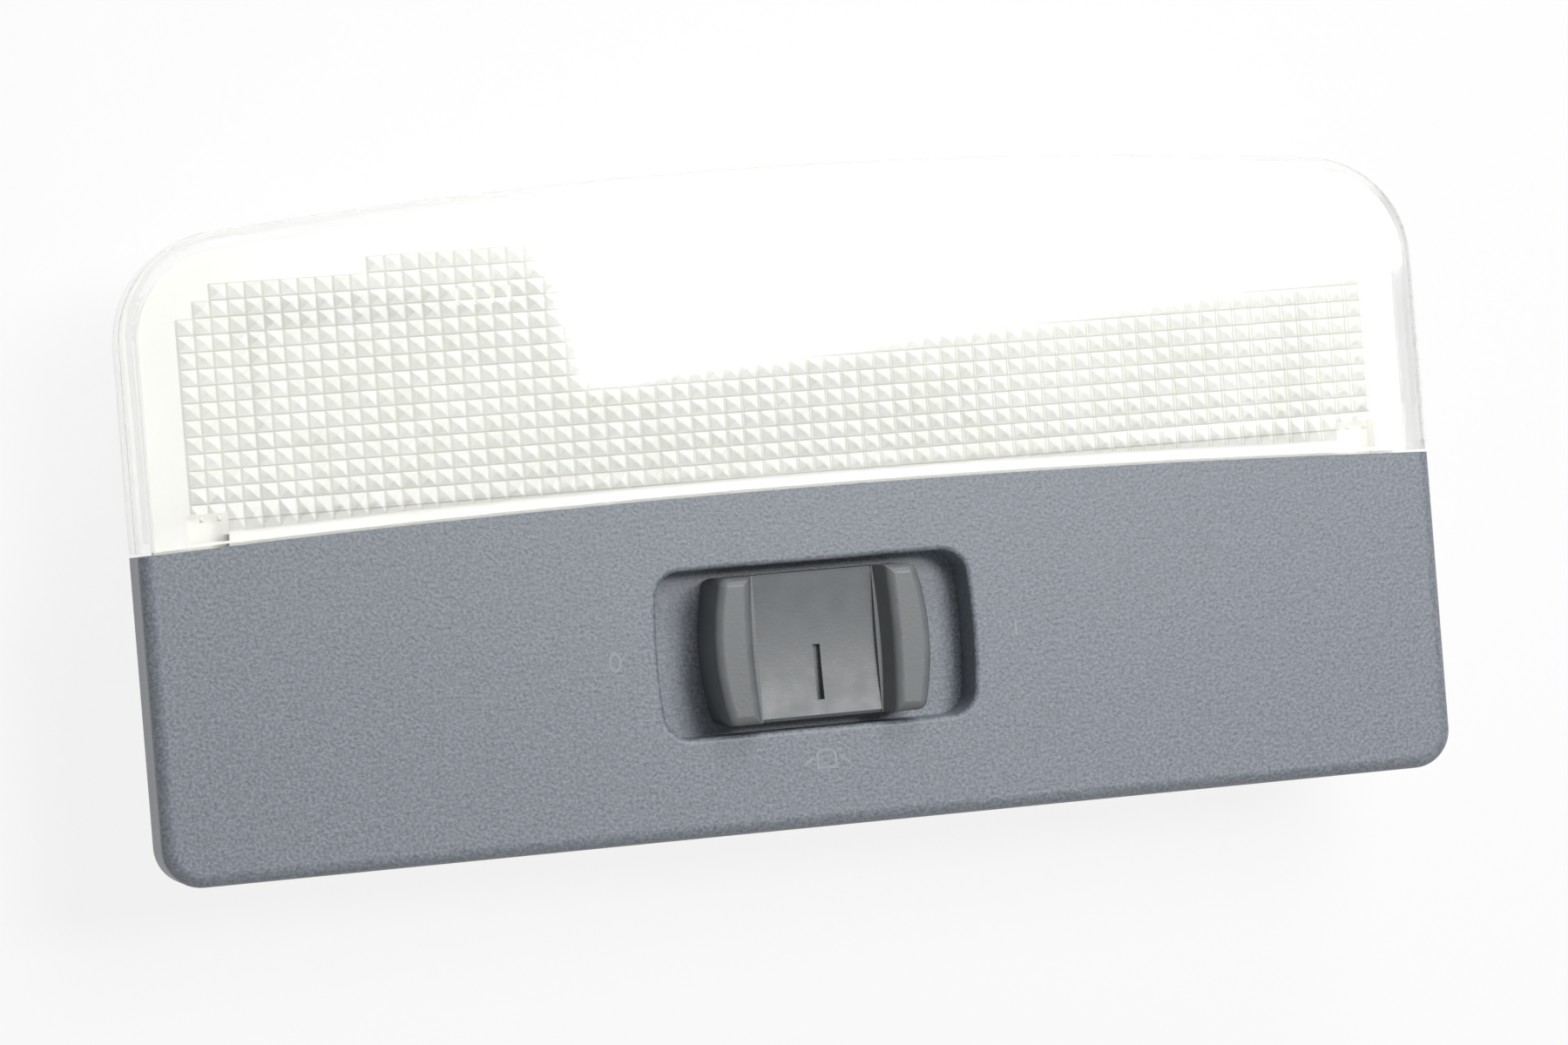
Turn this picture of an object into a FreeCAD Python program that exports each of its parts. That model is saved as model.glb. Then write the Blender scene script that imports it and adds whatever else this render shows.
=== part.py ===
import FreeCAD, Part
import math
import os

# Car courtesy light for a roof lining: a grey switch panel and a clear prismatic lens share one front,
# a white tray behind them holds the festoon lamp, and a three position slide switch works it.
# Millimetres. X runs along the length, Y from the switch towards the lens, Z out of the front face.
# The origin is the middle of the seat, the plane where the flange meets the roof lining.

V = FreeCAD.Vector

# Front outline
WIDTH = 130.0
HEIGHT = 64.5
FACE_HEIGHT = 7.0
PANEL_SHARE = 0.4915
BOTTOM_CORNER = 3.8
TOP_CORNER = 10.4
TOP_BOW = 3.7
FOLD_BOW = 1.5
RIM_ROUND = 1.3
CROWN_RADIUS = 700.0
FRONT_WALL = 2.4
SKIRT_WALL = 1.8
SKIRT_CLEARANCE = 0.3
FOLD_GAP = 0.3
SEAT_CLEARANCE = 0.2
REBATE_WIDTH = 0.9
REBATE_DEPTH = 0.4

# Prisms on the inside of the lens
PRISM_PITCH_X = 1.7
PRISM_PITCH_Y = 1.6
PRISM_DEPTH = 0.6
PRISM_POCKET = 0.12
PRISM_SIDE_BORDER = 5.2
PRISM_TOP_BORDER = 4.5
PRISM_FOLD_BORDER = 1.25

# Tray behind the front
END_OVERHANG = 9.0
TOP_OVERHANG = 7.75
BOTTOM_OVERHANG = 5.75
BODY_CORNER = 4.0
BODY_WALL = 1.8
FLANGE = 2.0
PARTITION = 2.0
LAMP_DEPTH = 22.0
BAY_DEPTH = 10.0
BAY_FLOOR = 1.5
LINING_GRIP = 3.2

# Gussets under the switch bay and vents behind the lamp
GUSSET_WALL = 1.2
GUSSET_DROP = 7.0
GUSSET_PLACES = (-20.0, 4.0, 28.0, 46.0)
VENT_WIDTH = 2.0
VENT_LENGTH = 11.0
VENT_PITCH = 5.5
VENT_COUNT = 5

# Snap legs of the panel and the lens
LEG_WIDTH = 6.0
LEG_WALL = 1.6
LEG_CLEARANCE = 0.2
LEG_REACH = 7.0
HOOK_DEPTH = 1.0
HOOK_HEIGHT = 2.4
WINDOW_CLEARANCE = 0.5
PANEL_LEG_PLACES = (-30.0, 0.0, 30.0)
PANEL_END_LEG_DROP = 9.0
LENS_LEG_PLACES = (-30.0, 30.0)
LENS_LEG_FOOT = 0.4
LENS_LEG_ARCH = 1.6
TONGUE_WIDTH = 4.0
TONGUE_REACH = 3.0
TONGUE_WALL = 1.5
TONGUE_FROM_END = 7.0

# Roof tongues at one end, spring clip at the other
HOOK_TONGUE_LENGTH = 5.5
HOOK_TONGUE_WIDTH = 9.0
HOOK_TONGUE_WALL = 2.4
HOOK_TONGUE_MARGIN = 2.0
CLIP_STEEL = 0.6
CLIP_WIDTH = 14.0
CLIP_BEND = 1.0
CLIP_BULGE = 4.6
CLIP_LENGTH = 15.0
CLIP_RAIL_LIP = 1.5
CLIP_RAIL_WALL = 1.0
CLIP_CLEARANCE = 0.1

# Slide switch
SLIDE_TRAVEL = 4.5
RECESS_LENGTH = 31.8
RECESS_HEIGHT = 16.2
RECESS_BULGE = 0.5
RECESS_CORNER = 2.6
RECESS_DEPTH = 4.7
RECESS_FLOOR = 1.3
RECESS_WALL = 1.5
RECESS_CLEARANCE = 0.65
RECESS_ROUND = 0.5
KNOB_LENGTH = 21.6
KNOB_HEIGHT = 14.3
KNOB_BULGE = 1.0
KNOB_CORNER = 1.0
KNOB_CLEARANCE = 0.15
KNOB_WALL = 1.5
RIDGE_HEIGHT = 2.7
RIDGE_ROUND = 0.9
PAD_CHAMFER = 0.35
PAD_LENGTH = 12.8
PAD_SLOPE = 0.8
PAD_BULGE = 0.4
PAD_HOLLOW_RADIUS = 45.0
POINTER_WIDTH = 0.75
POINTER_LENGTH = 5.4
POINTER_DEPTH = 0.8
STEM_LENGTH = 4.0
STEM_WIDTH = 8.0
STEM_CLEARANCE = 0.1
STEM_BARB = 0.6
STEM_BARB_HEIGHT = 1.0

# Carrier behind the panel, with its detent and wiper
CARRIER_LENGTH = 16.0
CARRIER_WIDTH = 12.0
CARRIER_WALL = 2.45
RAIL_WALL = 2.0
RAIL_CLEARANCE = 0.15
DETENT_STEEL = 0.25
DETENT_HEIGHT = 1.8
DETENT_HALF_LENGTH = 5.6
DETENT_POCKET = 1.2
DETENT_NOSE = 1.55
DETENT_NOTCH = 0.7
DETENT_BEND = 0.3
WIPER_BRONZE = 0.3
WIPER_WIDTH = 3.0
WIPER_OFFSET = 5.0
WIPER_SHOE = 3.4
WIPER_GAP = 0.1
WIPER_BEND = 0.35

# Contact strips and the plug socket
STRIP_BRASS = 0.5
STRIP_WIDTH = 2.8
STRIP_BEND = 0.5
STRIP_CLEARANCE = 0.1
RUN_WIDTH = 2.0
TRACK_WIDTH = 3.0
TRACK_PAD = 3.6
STAKE_RADIUS = 0.7
STAKE_HEAD_RADIUS = 1.2
STAKE_HEAD_HEIGHT = 0.5
STAKE_CLEARANCE = 0.1
SOCKET_LENGTH = 16.0
SOCKET_WIDTH = 10.4
SOCKET_WALL = 1.6
SOCKET_FROM_END = 15.0
SOCKET_SHIFT = 0.45
PIN_PITCH = 5.0
PIN_RECESS = 2.0
LATCH_WIDTH = 6.0
LATCH_HEIGHT = 3.0

# Lamp and reflector
LAMP_Z = -8.0
GLASS_RADIUS = 5.2
GLASS_NECK_RADIUS = 3.6
GLASS_WALL = 0.6
GLASS_HALF_LENGTH = 13.0
GLASS_SHOULDER = 2.2
GLASS_NECK_LENGTH = 2.6
CAP_RADIUS = 4.2
CAP_WALL = 0.5
CAP_LENGTH = 5.4
CAP_NOSE_LENGTH = 2.4
CAP_NOSE_RADIUS = 1.2
FILAMENT_RADIUS = 0.4
FILAMENT_HALF_LENGTH = 6.0
LEAD_RADIUS = 0.2
LEAF_WIDTH = 8.0
LEAF_TOP = -3.5
LEAF_FLARE = 0.9
LAMP_STRIP_X = 24.0
REFLECTOR_SHEET = 0.5
REFLECTOR_RIM_Z = -4.5
REFLECTOR_DEPTH = 12.5
REFLECTOR_CLEARANCE = 0.7
REFLECTOR_END_LAND = 7.0
REFLECTOR_SLOPE = 7.0
REFLECTOR_FLOOR_SHARE = 0.55
REFLECTOR_LIP = 0.4
REFLECTOR_CORNER = 3.0
REFLECTOR_SLOT = 1.2
PILLAR_RADIUS = 2.5

# Values worked out from the sizes above
HALF = WIDTH / 2
TOP_RADIUS = (HALF ** 2 + TOP_BOW ** 2) / (2 * TOP_BOW)
TOP_CENTRE = HEIGHT / 2 - TOP_RADIUS
FOLD_RADIUS = (HALF ** 2 + FOLD_BOW ** 2) / (2 * FOLD_BOW)
FOLD_END = -HEIGHT / 2 + HEIGHT * PANEL_SHARE
FOLD_MIDDLE = FOLD_END + FOLD_BOW
FOLD_CENTRE = FOLD_MIDDLE - FOLD_RADIUS
UNDERSIDE = FACE_HEIGHT - FRONT_WALL
PARTITION_TOP = UNDERSIDE - SEAT_CLEARANCE
BODY_HALF = HALF - END_OVERHANG
BODY_TOP = HEIGHT / 2 - TOP_OVERHANG
BODY_BOTTOM = -HEIGHT / 2 + BOTTOM_OVERHANG
BODY_INNER_HALF = BODY_HALF - BODY_WALL
BODY_INNER_TOP = BODY_TOP - BODY_WALL
BODY_INNER_BOTTOM = BODY_BOTTOM + BODY_WALL
BAY_TOP = BAY_FLOOR - BAY_DEPTH
LAMP_FLOOR = BODY_WALL - LAMP_DEPTH
STRIP_TOP = BAY_TOP + STRIP_BRASS
STRIP_MIDDLE = BAY_TOP + STRIP_BRASS / 2
LAMP_STRIP_MIDDLE = LAMP_FLOOR + STRIP_BRASS / 2
SLIDER_Y = BODY_INNER_BOTTOM + RECESS_CLEARANCE + RECESS_WALL + RECESS_HEIGHT / 2
RECESS_BOTTOM = FACE_HEIGHT - RECESS_DEPTH
RECESS_UNDERSIDE = RECESS_BOTTOM - RECESS_FLOOR
CARRIER_TOP = RECESS_UNDERSIDE - KNOB_CLEARANCE
CARRIER_BOTTOM = CARRIER_TOP - CARRIER_WALL
FAR = 2 * WIDTH
LAMP_SPACE_LOW = FOLD_MIDDLE + PARTITION / 2
LAMP_SPACE_HIGH = BODY_INNER_TOP - LEG_CLEARANCE - LEG_WALL
LAMP_Y = (LAMP_SPACE_LOW + LAMP_SPACE_HIGH) / 2
REFLECTOR_RIM_WIDTH = LAMP_SPACE_HIGH - LAMP_SPACE_LOW - 2 * REFLECTOR_CLEARANCE
REFLECTOR_TOP_WIDTH = REFLECTOR_RIM_WIDTH - 2 * REFLECTOR_LIP
REFLECTOR_FLOOR_WIDTH = REFLECTOR_TOP_WIDTH * REFLECTOR_FLOOR_SHARE
REFLECTOR_RIM_HALF = BODY_INNER_HALF - REFLECTOR_CLEARANCE
REFLECTOR_HALF = REFLECTOR_RIM_HALF - REFLECTOR_END_LAND
REFLECTOR_FLOOR_HALF = REFLECTOR_HALF - REFLECTOR_SLOPE
PILLAR_X = REFLECTOR_RIM_HALF - REFLECTOR_END_LAND / 2
PILLAR_SPREAD = REFLECTOR_RIM_WIDTH / 2 - PILLAR_RADIUS
SOCKET_X = SOCKET_FROM_END - BODY_HALF
SOCKET_Y = SLIDER_Y + SOCKET_SHIFT
HOOK_TONGUE_PLACES = (BODY_BOTTOM + HOOK_TONGUE_MARGIN + HOOK_TONGUE_WIDTH / 2, LAMP_Y)
SUPPLY_X = SOCKET_X + PIN_PITCH
DOOR_X = SOCKET_X
GROUND_X = SOCKET_X - PIN_PITCH
NOSE_END = GLASS_HALF_LENGTH + CAP_LENGTH + CAP_NOSE_LENGTH
LEAF_X = GLASS_HALF_LENGTH + CAP_LENGTH + CAP_NOSE_LENGTH / 2


def block(x0, x1, y0, y1, z0, z1):
    """A box between two corners."""
    return Part.makeBox(x1 - x0, y1 - y0, z1 - z0, V(x0, y0, z0))


def prism(face, z0, z1):
    """A flat face lifted to z0 and drawn up to z1."""
    lifted = face.translated(V(0, 0, z0))
    return lifted.extrude(V(0, 0, z1 - z0))


def line(a, b):
    return Part.makeLine(V(*a), V(*b))


def arc(a, b, c):
    return Part.Arc(V(*a), V(*b), V(*c)).toShape()


def filled(edges):
    return Part.Face(Part.Wire(edges))


def polygon(points):
    return Part.Face(Part.makePolygon([V(*p) for p in points] + [V(*points[0])]))


def joined(shapes):
    """One solid from several that meet or overlap."""
    first, *rest = shapes
    return first.fuse(rest).removeSplitter()


def mirrored_x(shape):
    return shape.mirror(V(0, 0, 0), V(1, 0, 0))


def rounded_rectangle(x0, x1, y0, y1, radius):
    """A flat rectangle at z 0 with round corners."""
    bit = radius * (1 - math.sqrt(0.5))
    edges = [
        line((x0 + radius, y0, 0), (x1 - radius, y0, 0)),
        arc((x1 - radius, y0, 0), (x1 - bit, y0 + bit, 0), (x1, y0 + radius, 0)),
        line((x1, y0 + radius, 0), (x1, y1 - radius, 0)),
        arc((x1, y1 - radius, 0), (x1 - bit, y1 - bit, 0), (x1 - radius, y1, 0)),
        line((x1 - radius, y1, 0), (x0 + radius, y1, 0)),
        arc((x0 + radius, y1, 0), (x0 + bit, y1 - bit, 0), (x0, y1 - radius, 0)),
        line((x0, y1 - radius, 0), (x0, y0 + radius, 0)),
        arc((x0, y0 + radius, 0), (x0 + bit, y0 + bit, 0), (x0 + radius, y0, 0)),
    ]
    return filled(edges)


def barrel(length, height, bulge):
    """A flat rectangle centred on the slider whose short sides bow outwards by bulge."""
    end = length / 2 - bulge
    top = SLIDER_Y + height / 2
    bottom = SLIDER_Y - height / 2
    edges = [
        line((-end, bottom, 0), (end, bottom, 0)),
        arc((end, bottom, 0), (length / 2, SLIDER_Y, 0), (end, top, 0)),
        line((end, top, 0), (-end, top, 0)),
        arc((-end, top, 0), (-length / 2, SLIDER_Y, 0), (-end, bottom, 0)),
    ]
    return filled(edges)


def upright_edges(shape):
    """The edges of a prism that run along Z."""
    return [e for e in shape.Edges if e.BoundBox.ZLength > 0.1 and e.BoundBox.XLength < 0.01]


def barrel_prism(length, height, bulge, corner, z0, z1):
    solid = prism(barrel(length, height, bulge), z0, z1)
    return solid.makeFillet(corner, upright_edges(solid))


def outline(inset):
    """The front's outline, moved inwards by inset: straight foot and sides, bowed top, round corners."""
    side = HALF - inset
    foot = -HEIGHT / 2 + inset
    low = BOTTOM_CORNER - inset if BOTTOM_CORNER > inset + 0.2 else 0.2
    high = TOP_CORNER - inset
    radius = TOP_RADIUS - inset
    corner_x = side - high
    corner_y = TOP_CENTRE + math.sqrt((radius - high) ** 2 - corner_x ** 2)
    lean = math.atan2(corner_x, corner_y - TOP_CENTRE)
    top_x = radius * math.sin(lean)
    top_y = TOP_CENTRE + radius * math.cos(lean)
    half_way = (math.pi / 2 + lean) / 2
    bow_x = corner_x + high * math.sin(half_way)
    bow_y = corner_y + high * math.cos(half_way)
    bit = low * (1 - math.sqrt(0.5))
    edges = [
        line((low - side, foot, 0), (side - low, foot, 0)),
        arc((side - low, foot, 0), (side - bit, foot + bit, 0), (side, foot + low, 0)),
        line((side, foot + low, 0), (side, corner_y, 0)),
        arc((side, corner_y, 0), (bow_x, bow_y, 0), (top_x, top_y, 0)),
        arc((top_x, top_y, 0), (0, HEIGHT / 2 - inset, 0), (-top_x, top_y, 0)),
        arc((-top_x, top_y, 0), (-bow_x, bow_y, 0), (-side, corner_y, 0)),
        line((-side, corner_y, 0), (-side, foot + low, 0)),
        arc((-side, foot + low, 0), (bit - side, foot + bit, 0), (low - side, foot, 0)),
    ]
    return filled(edges)


def fold_height(x):
    """Y of the bowed line where the panel meets the lens."""
    return FOLD_CENTRE + math.sqrt(FOLD_RADIUS ** 2 - x ** 2)


def beside_fold(shift, far_y, z0, z1):
    """Everything between the fold line, moved by shift along Y, and far_y."""
    end = fold_height(WIDTH) + shift
    edges = [
        arc((-WIDTH, end, 0), (0, FOLD_MIDDLE + shift, 0), (WIDTH, end, 0)),
        line((WIDTH, end, 0), (WIDTH, far_y, 0)),
        line((WIDTH, far_y, 0), (-WIDTH, far_y, 0)),
        line((-WIDTH, far_y, 0), (-WIDTH, end, 0)),
    ]
    return prism(filled(edges), z0, z1)


def panel_side(shift, z0, z1):
    return beside_fold(shift, -FAR, z0, z1)


def lens_side(shift, z0, z1):
    return beside_fold(shift, FAR, z0, z1)


def front_block():
    """The whole front as one solid: flat over the switch, gently crowned over the lamp, with a rounded rim."""
    solid = prism(outline(0), 0, FACE_HEIGHT)
    crown = Part.makeCylinder(CROWN_RADIUS, FAR, V(-WIDTH, FOLD_MIDDLE, FACE_HEIGHT - CROWN_RADIUS), V(1, 0, 0))
    over_lens = block(-WIDTH, WIDTH, FOLD_MIDDLE, HEIGHT, FACE_HEIGHT / 2, FACE_HEIGHT + 1)
    solid = solid.cut(over_lens.cut(crown))
    rim = []
    for edge in solid.Edges:
        box = edge.BoundBox
        seam = box.YLength < 0.01 and abs(box.YMin - FOLD_MIDDLE) < 0.01
        if box.ZMin > FACE_HEIGHT / 2 and not seam:
            rim.append(edge)
    return solid.makeFillet(RIM_ROUND, rim)


def folded_strip(points, sheet, bend, place, width):
    """Sheet metal bent along a flat path, with round bends, and drawn out to its width.

    points are the path's corners at the middle of the sheet, place turns them into vectors,
    bend is the inner radius and width is the vector across the strip.
    """
    radius = bend + sheet / 2
    sides = {1: [], -1: []}
    steps = [(b[0] - a[0], b[1] - a[1]) for a, b in zip(points, points[1:])]
    ways = [(dx / math.hypot(dx, dy), dy / math.hypot(dx, dy)) for dx, dy in steps]

    def beside(point, way, side):
        return place(point[0] - way[1] * side * sheet / 2, point[1] + way[0] * side * sheet / 2)

    last = {side: beside(points[0], ways[0], side) for side in sides}
    first = dict(last)
    for corner, before, after in zip(points[1:], ways, ways[1:]):
        turn = math.atan2(before[0] * after[1] - before[1] * after[0],
                          before[0] * after[0] + before[1] * after[1])
        back = radius * math.tan(abs(turn) / 2)
        hand = 1 if turn > 0 else -1
        start = (corner[0] - before[0] * back, corner[1] - before[1] * back)
        end = (corner[0] + after[0] * back, corner[1] + after[1] * back)
        centre = (start[0] - before[1] * hand * radius, start[1] + before[0] * hand * radius)
        middle_way = (before[0] + after[0], before[1] + after[1])
        size = math.hypot(*middle_way)
        normal = (-middle_way[1] / size, middle_way[0] / size)
        for side, edges in sides.items():
            reach = radius - side * hand * sheet / 2
            middle = place(centre[0] - hand * normal[0] * reach, centre[1] - hand * normal[1] * reach)
            begin = beside(start, before, side)
            finish = beside(end, after, side)
            edges.append(Part.makeLine(last[side], begin))
            edges.append(Part.Arc(begin, middle, finish).toShape())
            last[side] = finish
    for side, edges in sides.items():
        tip = beside(points[-1], ways[-1], side)
        edges.append(Part.makeLine(last[side], tip))
        last[side] = tip
    caps = [Part.makeLine(last[1], last[-1]), Part.makeLine(first[-1], first[1])]
    wire = Part.Wire(Part.__sortEdges__(sides[1] + sides[-1] + caps))
    return Part.Face(wire).extrude(width)


def strip_in_yz(points, x, width=STRIP_WIDTH, sheet=STRIP_BRASS, bend=STRIP_BEND):
    return folded_strip(points, sheet, bend, lambda u, v: V(x - width / 2, u, v), V(width, 0, 0))


def strip_in_xz(points, y, width, sheet=STRIP_BRASS, bend=STRIP_BEND):
    return folded_strip(points, sheet, bend, lambda u, v: V(u, y - width / 2, v), V(0, width, 0))


def post(x, y, z0, z1, radius):
    return Part.makeCylinder(radius, z1 - z0, V(x, y, z0))


def stake(x, y, z0, sheet_top):
    """A moulded post through a hole in a sheet, with its end melted to a head."""
    shaft = post(x, y, z0, sheet_top + STAKE_HEAD_HEIGHT / 2, STAKE_RADIUS)
    head = post(x, y, sheet_top, sheet_top + STAKE_HEAD_HEIGHT, STAKE_HEAD_RADIUS)
    crown = [e for e in head.Edges if abs(e.BoundBox.ZMin - head.BoundBox.ZMax) < 0.01]
    return shaft.fuse(head.makeFillet(STAKE_HEAD_HEIGHT * 0.6, crown)).removeSplitter()


def stake_hole(x, y, z0, z1):
    return post(x, y, z0, z1, STAKE_RADIUS + STAKE_CLEARANCE)


# Stake places on the strips of the switch bay, and on the reflector's rim
WIPER_X = WIPER_OFFSET
TRACK_Y = SLIDER_Y + WIPER_SHOE
PAD_Y = SLIDER_Y - WIPER_SHOE
DOOR_RUN_Y = PAD_Y - TRACK_WIDTH / 2 - RUN_WIDTH / 2
GROUND_RUN_Y = DOOR_RUN_Y - RUN_WIDTH - STRIP_BRASS
GROUND_PAD_X = WIPER_X + SLIDE_TRAVEL
SUPPLY_STAKE = (SUPPLY_X, (SOCKET_Y + FOLD_END) / 2)
LAMP_STAKE = (LAMP_STRIP_X, (TRACK_Y + FOLD_END) / 2)
DOOR_STAKE = (DOOR_X, (SOCKET_Y + DOOR_RUN_Y) / 2)
GROUND_STAKE = (GROUND_X, (SOCKET_Y + GROUND_RUN_Y) / 2)
STRIP_STAKES = (SUPPLY_STAKE, LAMP_STAKE, DOOR_STAKE, GROUND_STAKE)
PILLARS = [(side * PILLAR_X, LAMP_Y + step) for side in (-1, 1) for step in (-PILLAR_SPREAD, PILLAR_SPREAD)]
LAMP_STRIP_DROP = FOLD_MIDDLE + PARTITION / 2 + STRIP_CLEARANCE + STRIP_BEND + STRIP_BRASS / 2


def hook(wall_face, out, along, across, z_tip, size_along):
    """A wedge on the end of a leg that catches in a window: out is the way it points."""
    profile = [(0, z_tip), (HOOK_DEPTH, z_tip + HOOK_HEIGHT * 0.7), (HOOK_DEPTH, z_tip + HOOK_HEIGHT),
               (0, z_tip + HOOK_HEIGHT)]
    if across == "y":
        face = polygon([(along - size_along / 2, wall_face + out * u, v) for u, v in profile])
        return face.extrude(V(size_along, 0, 0))
    face = polygon([(wall_face + out * u, along - size_along / 2, v) for u, v in profile])
    return face.extrude(V(0, size_along, 0))


def leg_along_y(x, wall_face, out):
    """A snap leg beside a wall whose face is at y wall_face; out is +1 or -1 along Y."""
    face = wall_face - out * LEG_CLEARANCE
    back = face - out * LEG_WALL
    plate = block(x - LEG_WIDTH / 2, x + LEG_WIDTH / 2, min(face, back), max(face, back),
                  -LEG_REACH, UNDERSIDE + FRONT_WALL / 4)
    return plate.fuse(hook(face, out, x, "y", -LEG_REACH, LEG_WIDTH))


def leg_along_x(y, wall_face, out):
    """A snap leg beside an end wall whose face is at x wall_face; out is +1 or -1 along X."""
    face = wall_face - out * LEG_CLEARANCE
    back = face - out * LEG_WALL
    plate = block(min(face, back), max(face, back), y - LEG_WIDTH / 2, y + LEG_WIDTH / 2,
                  -LEG_REACH, UNDERSIDE + FRONT_WALL / 4)
    return plate.fuse(hook(face, out, y, "x", -LEG_REACH, LEG_WIDTH))


def window_in_y(x, y0, y1):
    half = LEG_WIDTH / 2 + WINDOW_CLEARANCE
    low = -LEG_REACH - WINDOW_CLEARANCE
    high = -LEG_REACH + HOOK_HEIGHT + SEAT_CLEARANCE
    return block(x - half, x + half, y0, y1, low, high)


def window_in_x(y, x0, x1):
    half = LEG_WIDTH / 2 + WINDOW_CLEARANCE
    low = -LEG_REACH - WINDOW_CLEARANCE
    high = -LEG_REACH + HOOK_HEIGHT + SEAT_CLEARANCE
    return block(x0, x1, y - half, y + half, low, high)


PANEL_END_LEG_Y = FOLD_END - PANEL_END_LEG_DROP


def prism_columns():
    """How many prisms lie side by side, and the X where the first one starts."""
    count = int((WIDTH - 2 * PRISM_SIDE_BORDER) / PRISM_PITCH_X)
    return count, -count * PRISM_PITCH_X / 2


def arched_leg(x):
    """A snap leg of the lens on thin feet that stand on the roots between prisms, so the prisms run on over it."""
    leg = leg_along_y(x, BODY_INNER_TOP, 1)
    left = prism_columns()[1]
    first = left + math.floor((x - LEG_WIDTH / 2 - left) / PRISM_PITCH_X) * PRISM_PITCH_X
    while first < x + LEG_WIDTH / 2:
        leg = leg.cut(block(first + LENS_LEG_FOOT / 2, first + PRISM_PITCH_X - LENS_LEG_FOOT / 2, 0, FAR,
                            UNDERSIDE - LENS_LEG_ARCH, FACE_HEIGHT))
        first += PRISM_PITCH_X
    return leg


def lens_prisms():
    """The tool that leaves the lens's prisms: square hollows in rows, more of them where the top edge bows up.

    The lowest row reaches down to the bowed fold, so its hollows are longer towards the ends.
    """
    columns, left = prism_columns()
    low = FOLD_MIDDLE + PRISM_FOLD_BORDER
    base = UNDERSIDE + PRISM_POCKET
    floor = UNDERSIDE - PRISM_POCKET

    def rows_in(column):
        x = max(abs(left + column * PRISM_PITCH_X), abs(left + (column + 1) * PRISM_PITCH_X))
        bowed = TOP_CENTRE + math.sqrt(TOP_RADIUS ** 2 - x ** 2) - PRISM_TOP_BORDER
        corner_x = x - (HALF - TOP_CORNER)
        rounded = bowed
        if corner_x > 0:
            inner = TOP_CORNER - PRISM_TOP_BORDER
            corner_y = TOP_CENTRE + math.sqrt((TOP_RADIUS - TOP_CORNER) ** 2 - (HALF - TOP_CORNER) ** 2)
            rounded = corner_y + math.sqrt(max(inner ** 2 - corner_x ** 2, 0))
        return int((min(bowed, rounded) - low) / PRISM_PITCH_Y)

    heights = [rows_in(c) for c in range(columns)]
    points = []
    index = {}
    faces = []

    def row_height(x, row):
        if row == 0:
            return fold_height(x) + PRISM_FOLD_BORDER
        return low + row * PRISM_PITCH_Y

    def corner(column, row, z):
        x = left + column * PRISM_PITCH_X
        return vertex((x, row_height(x, row), z))

    def peak(column, row):
        x = left + (column + 0.5) * PRISM_PITCH_X
        return vertex((x, (row_height(x, row) + row_height(x, row + 1)) / 2, base + PRISM_DEPTH))

    def vertex(place):
        key = tuple(round(v, 6) for v in place)
        if key not in index:
            index[key] = len(points)
            points.append(V(*place))
        return index[key]

    def quad(a, b, c, d):
        faces.append((a, b, c))
        faces.append((a, c, d))

    for c, count in enumerate(heights):
        for r in range(count):
            ring = [corner(c, r, base), corner(c + 1, r, base), corner(c + 1, r + 1, base), corner(c, r + 1, base)]
            foot = [corner(c, r, floor), corner(c + 1, r, floor), corner(c + 1, r + 1, floor), corner(c, r + 1, floor)]
            tip = peak(c, r)
            for a, b in zip(ring, ring[1:] + ring[:1]):
                faces.append((a, b, tip))
            quad(foot[3], foot[2], foot[1], foot[0])
            open_sides = [r == 0, c + 1 == columns or r >= heights[c + 1], r + 1 == count, c == 0 or r >= heights[c - 1]]
            for side, is_open in enumerate(open_sides):
                after = (side + 1) % 4
                if is_open:
                    quad(foot[side], foot[after], ring[after], ring[side])
    shape = Part.Shape()
    shape.makeShapeFromMesh((points, faces), 0.001)
    return Part.Solid(Part.Shell(shape.Faces)).removeSplitter()


def lens(front):
    """Clear cap over the lamp: plain rim, prismatic middle, two snap legs and two tongues under the panel."""
    cap = front.common(lens_side(FOLD_GAP / 2, -1, FACE_HEIGHT + 1))
    cap = cap.cut(prism(outline(SKIRT_WALL), -1, UNDERSIDE))
    cap = cap.cut(panel_side(FOLD_GAP / 2 + REBATE_WIDTH, FACE_HEIGHT - REBATE_DEPTH, FACE_HEIGHT + 1))
    pieces = [cap.cut(lens_prisms())]
    for x in LENS_LEG_PLACES:
        pieces.append(arched_leg(x))
    tongue_x = HALF - TONGUE_FROM_END
    edge = fold_height(tongue_x) + FOLD_GAP / 2
    tongue = block(tongue_x - TONGUE_WIDTH / 2, tongue_x + TONGUE_WIDTH / 2, edge - TONGUE_REACH, edge + TONGUE_REACH,
                   UNDERSIDE - SEAT_CLEARANCE - TONGUE_WALL, UNDERSIDE - SEAT_CLEARANCE)
    web = block(tongue_x - TONGUE_WIDTH / 2, tongue_x + TONGUE_WIDTH / 2, edge + FOLD_GAP, edge + TONGUE_REACH,
                UNDERSIDE - SEAT_CLEARANCE - TONGUE_WALL, UNDERSIDE + FRONT_WALL / 4)
    hook_tongue = tongue.fuse(web)
    pieces += [hook_tongue, mirrored_x(hook_tongue)]
    return joined(pieces)


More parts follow.
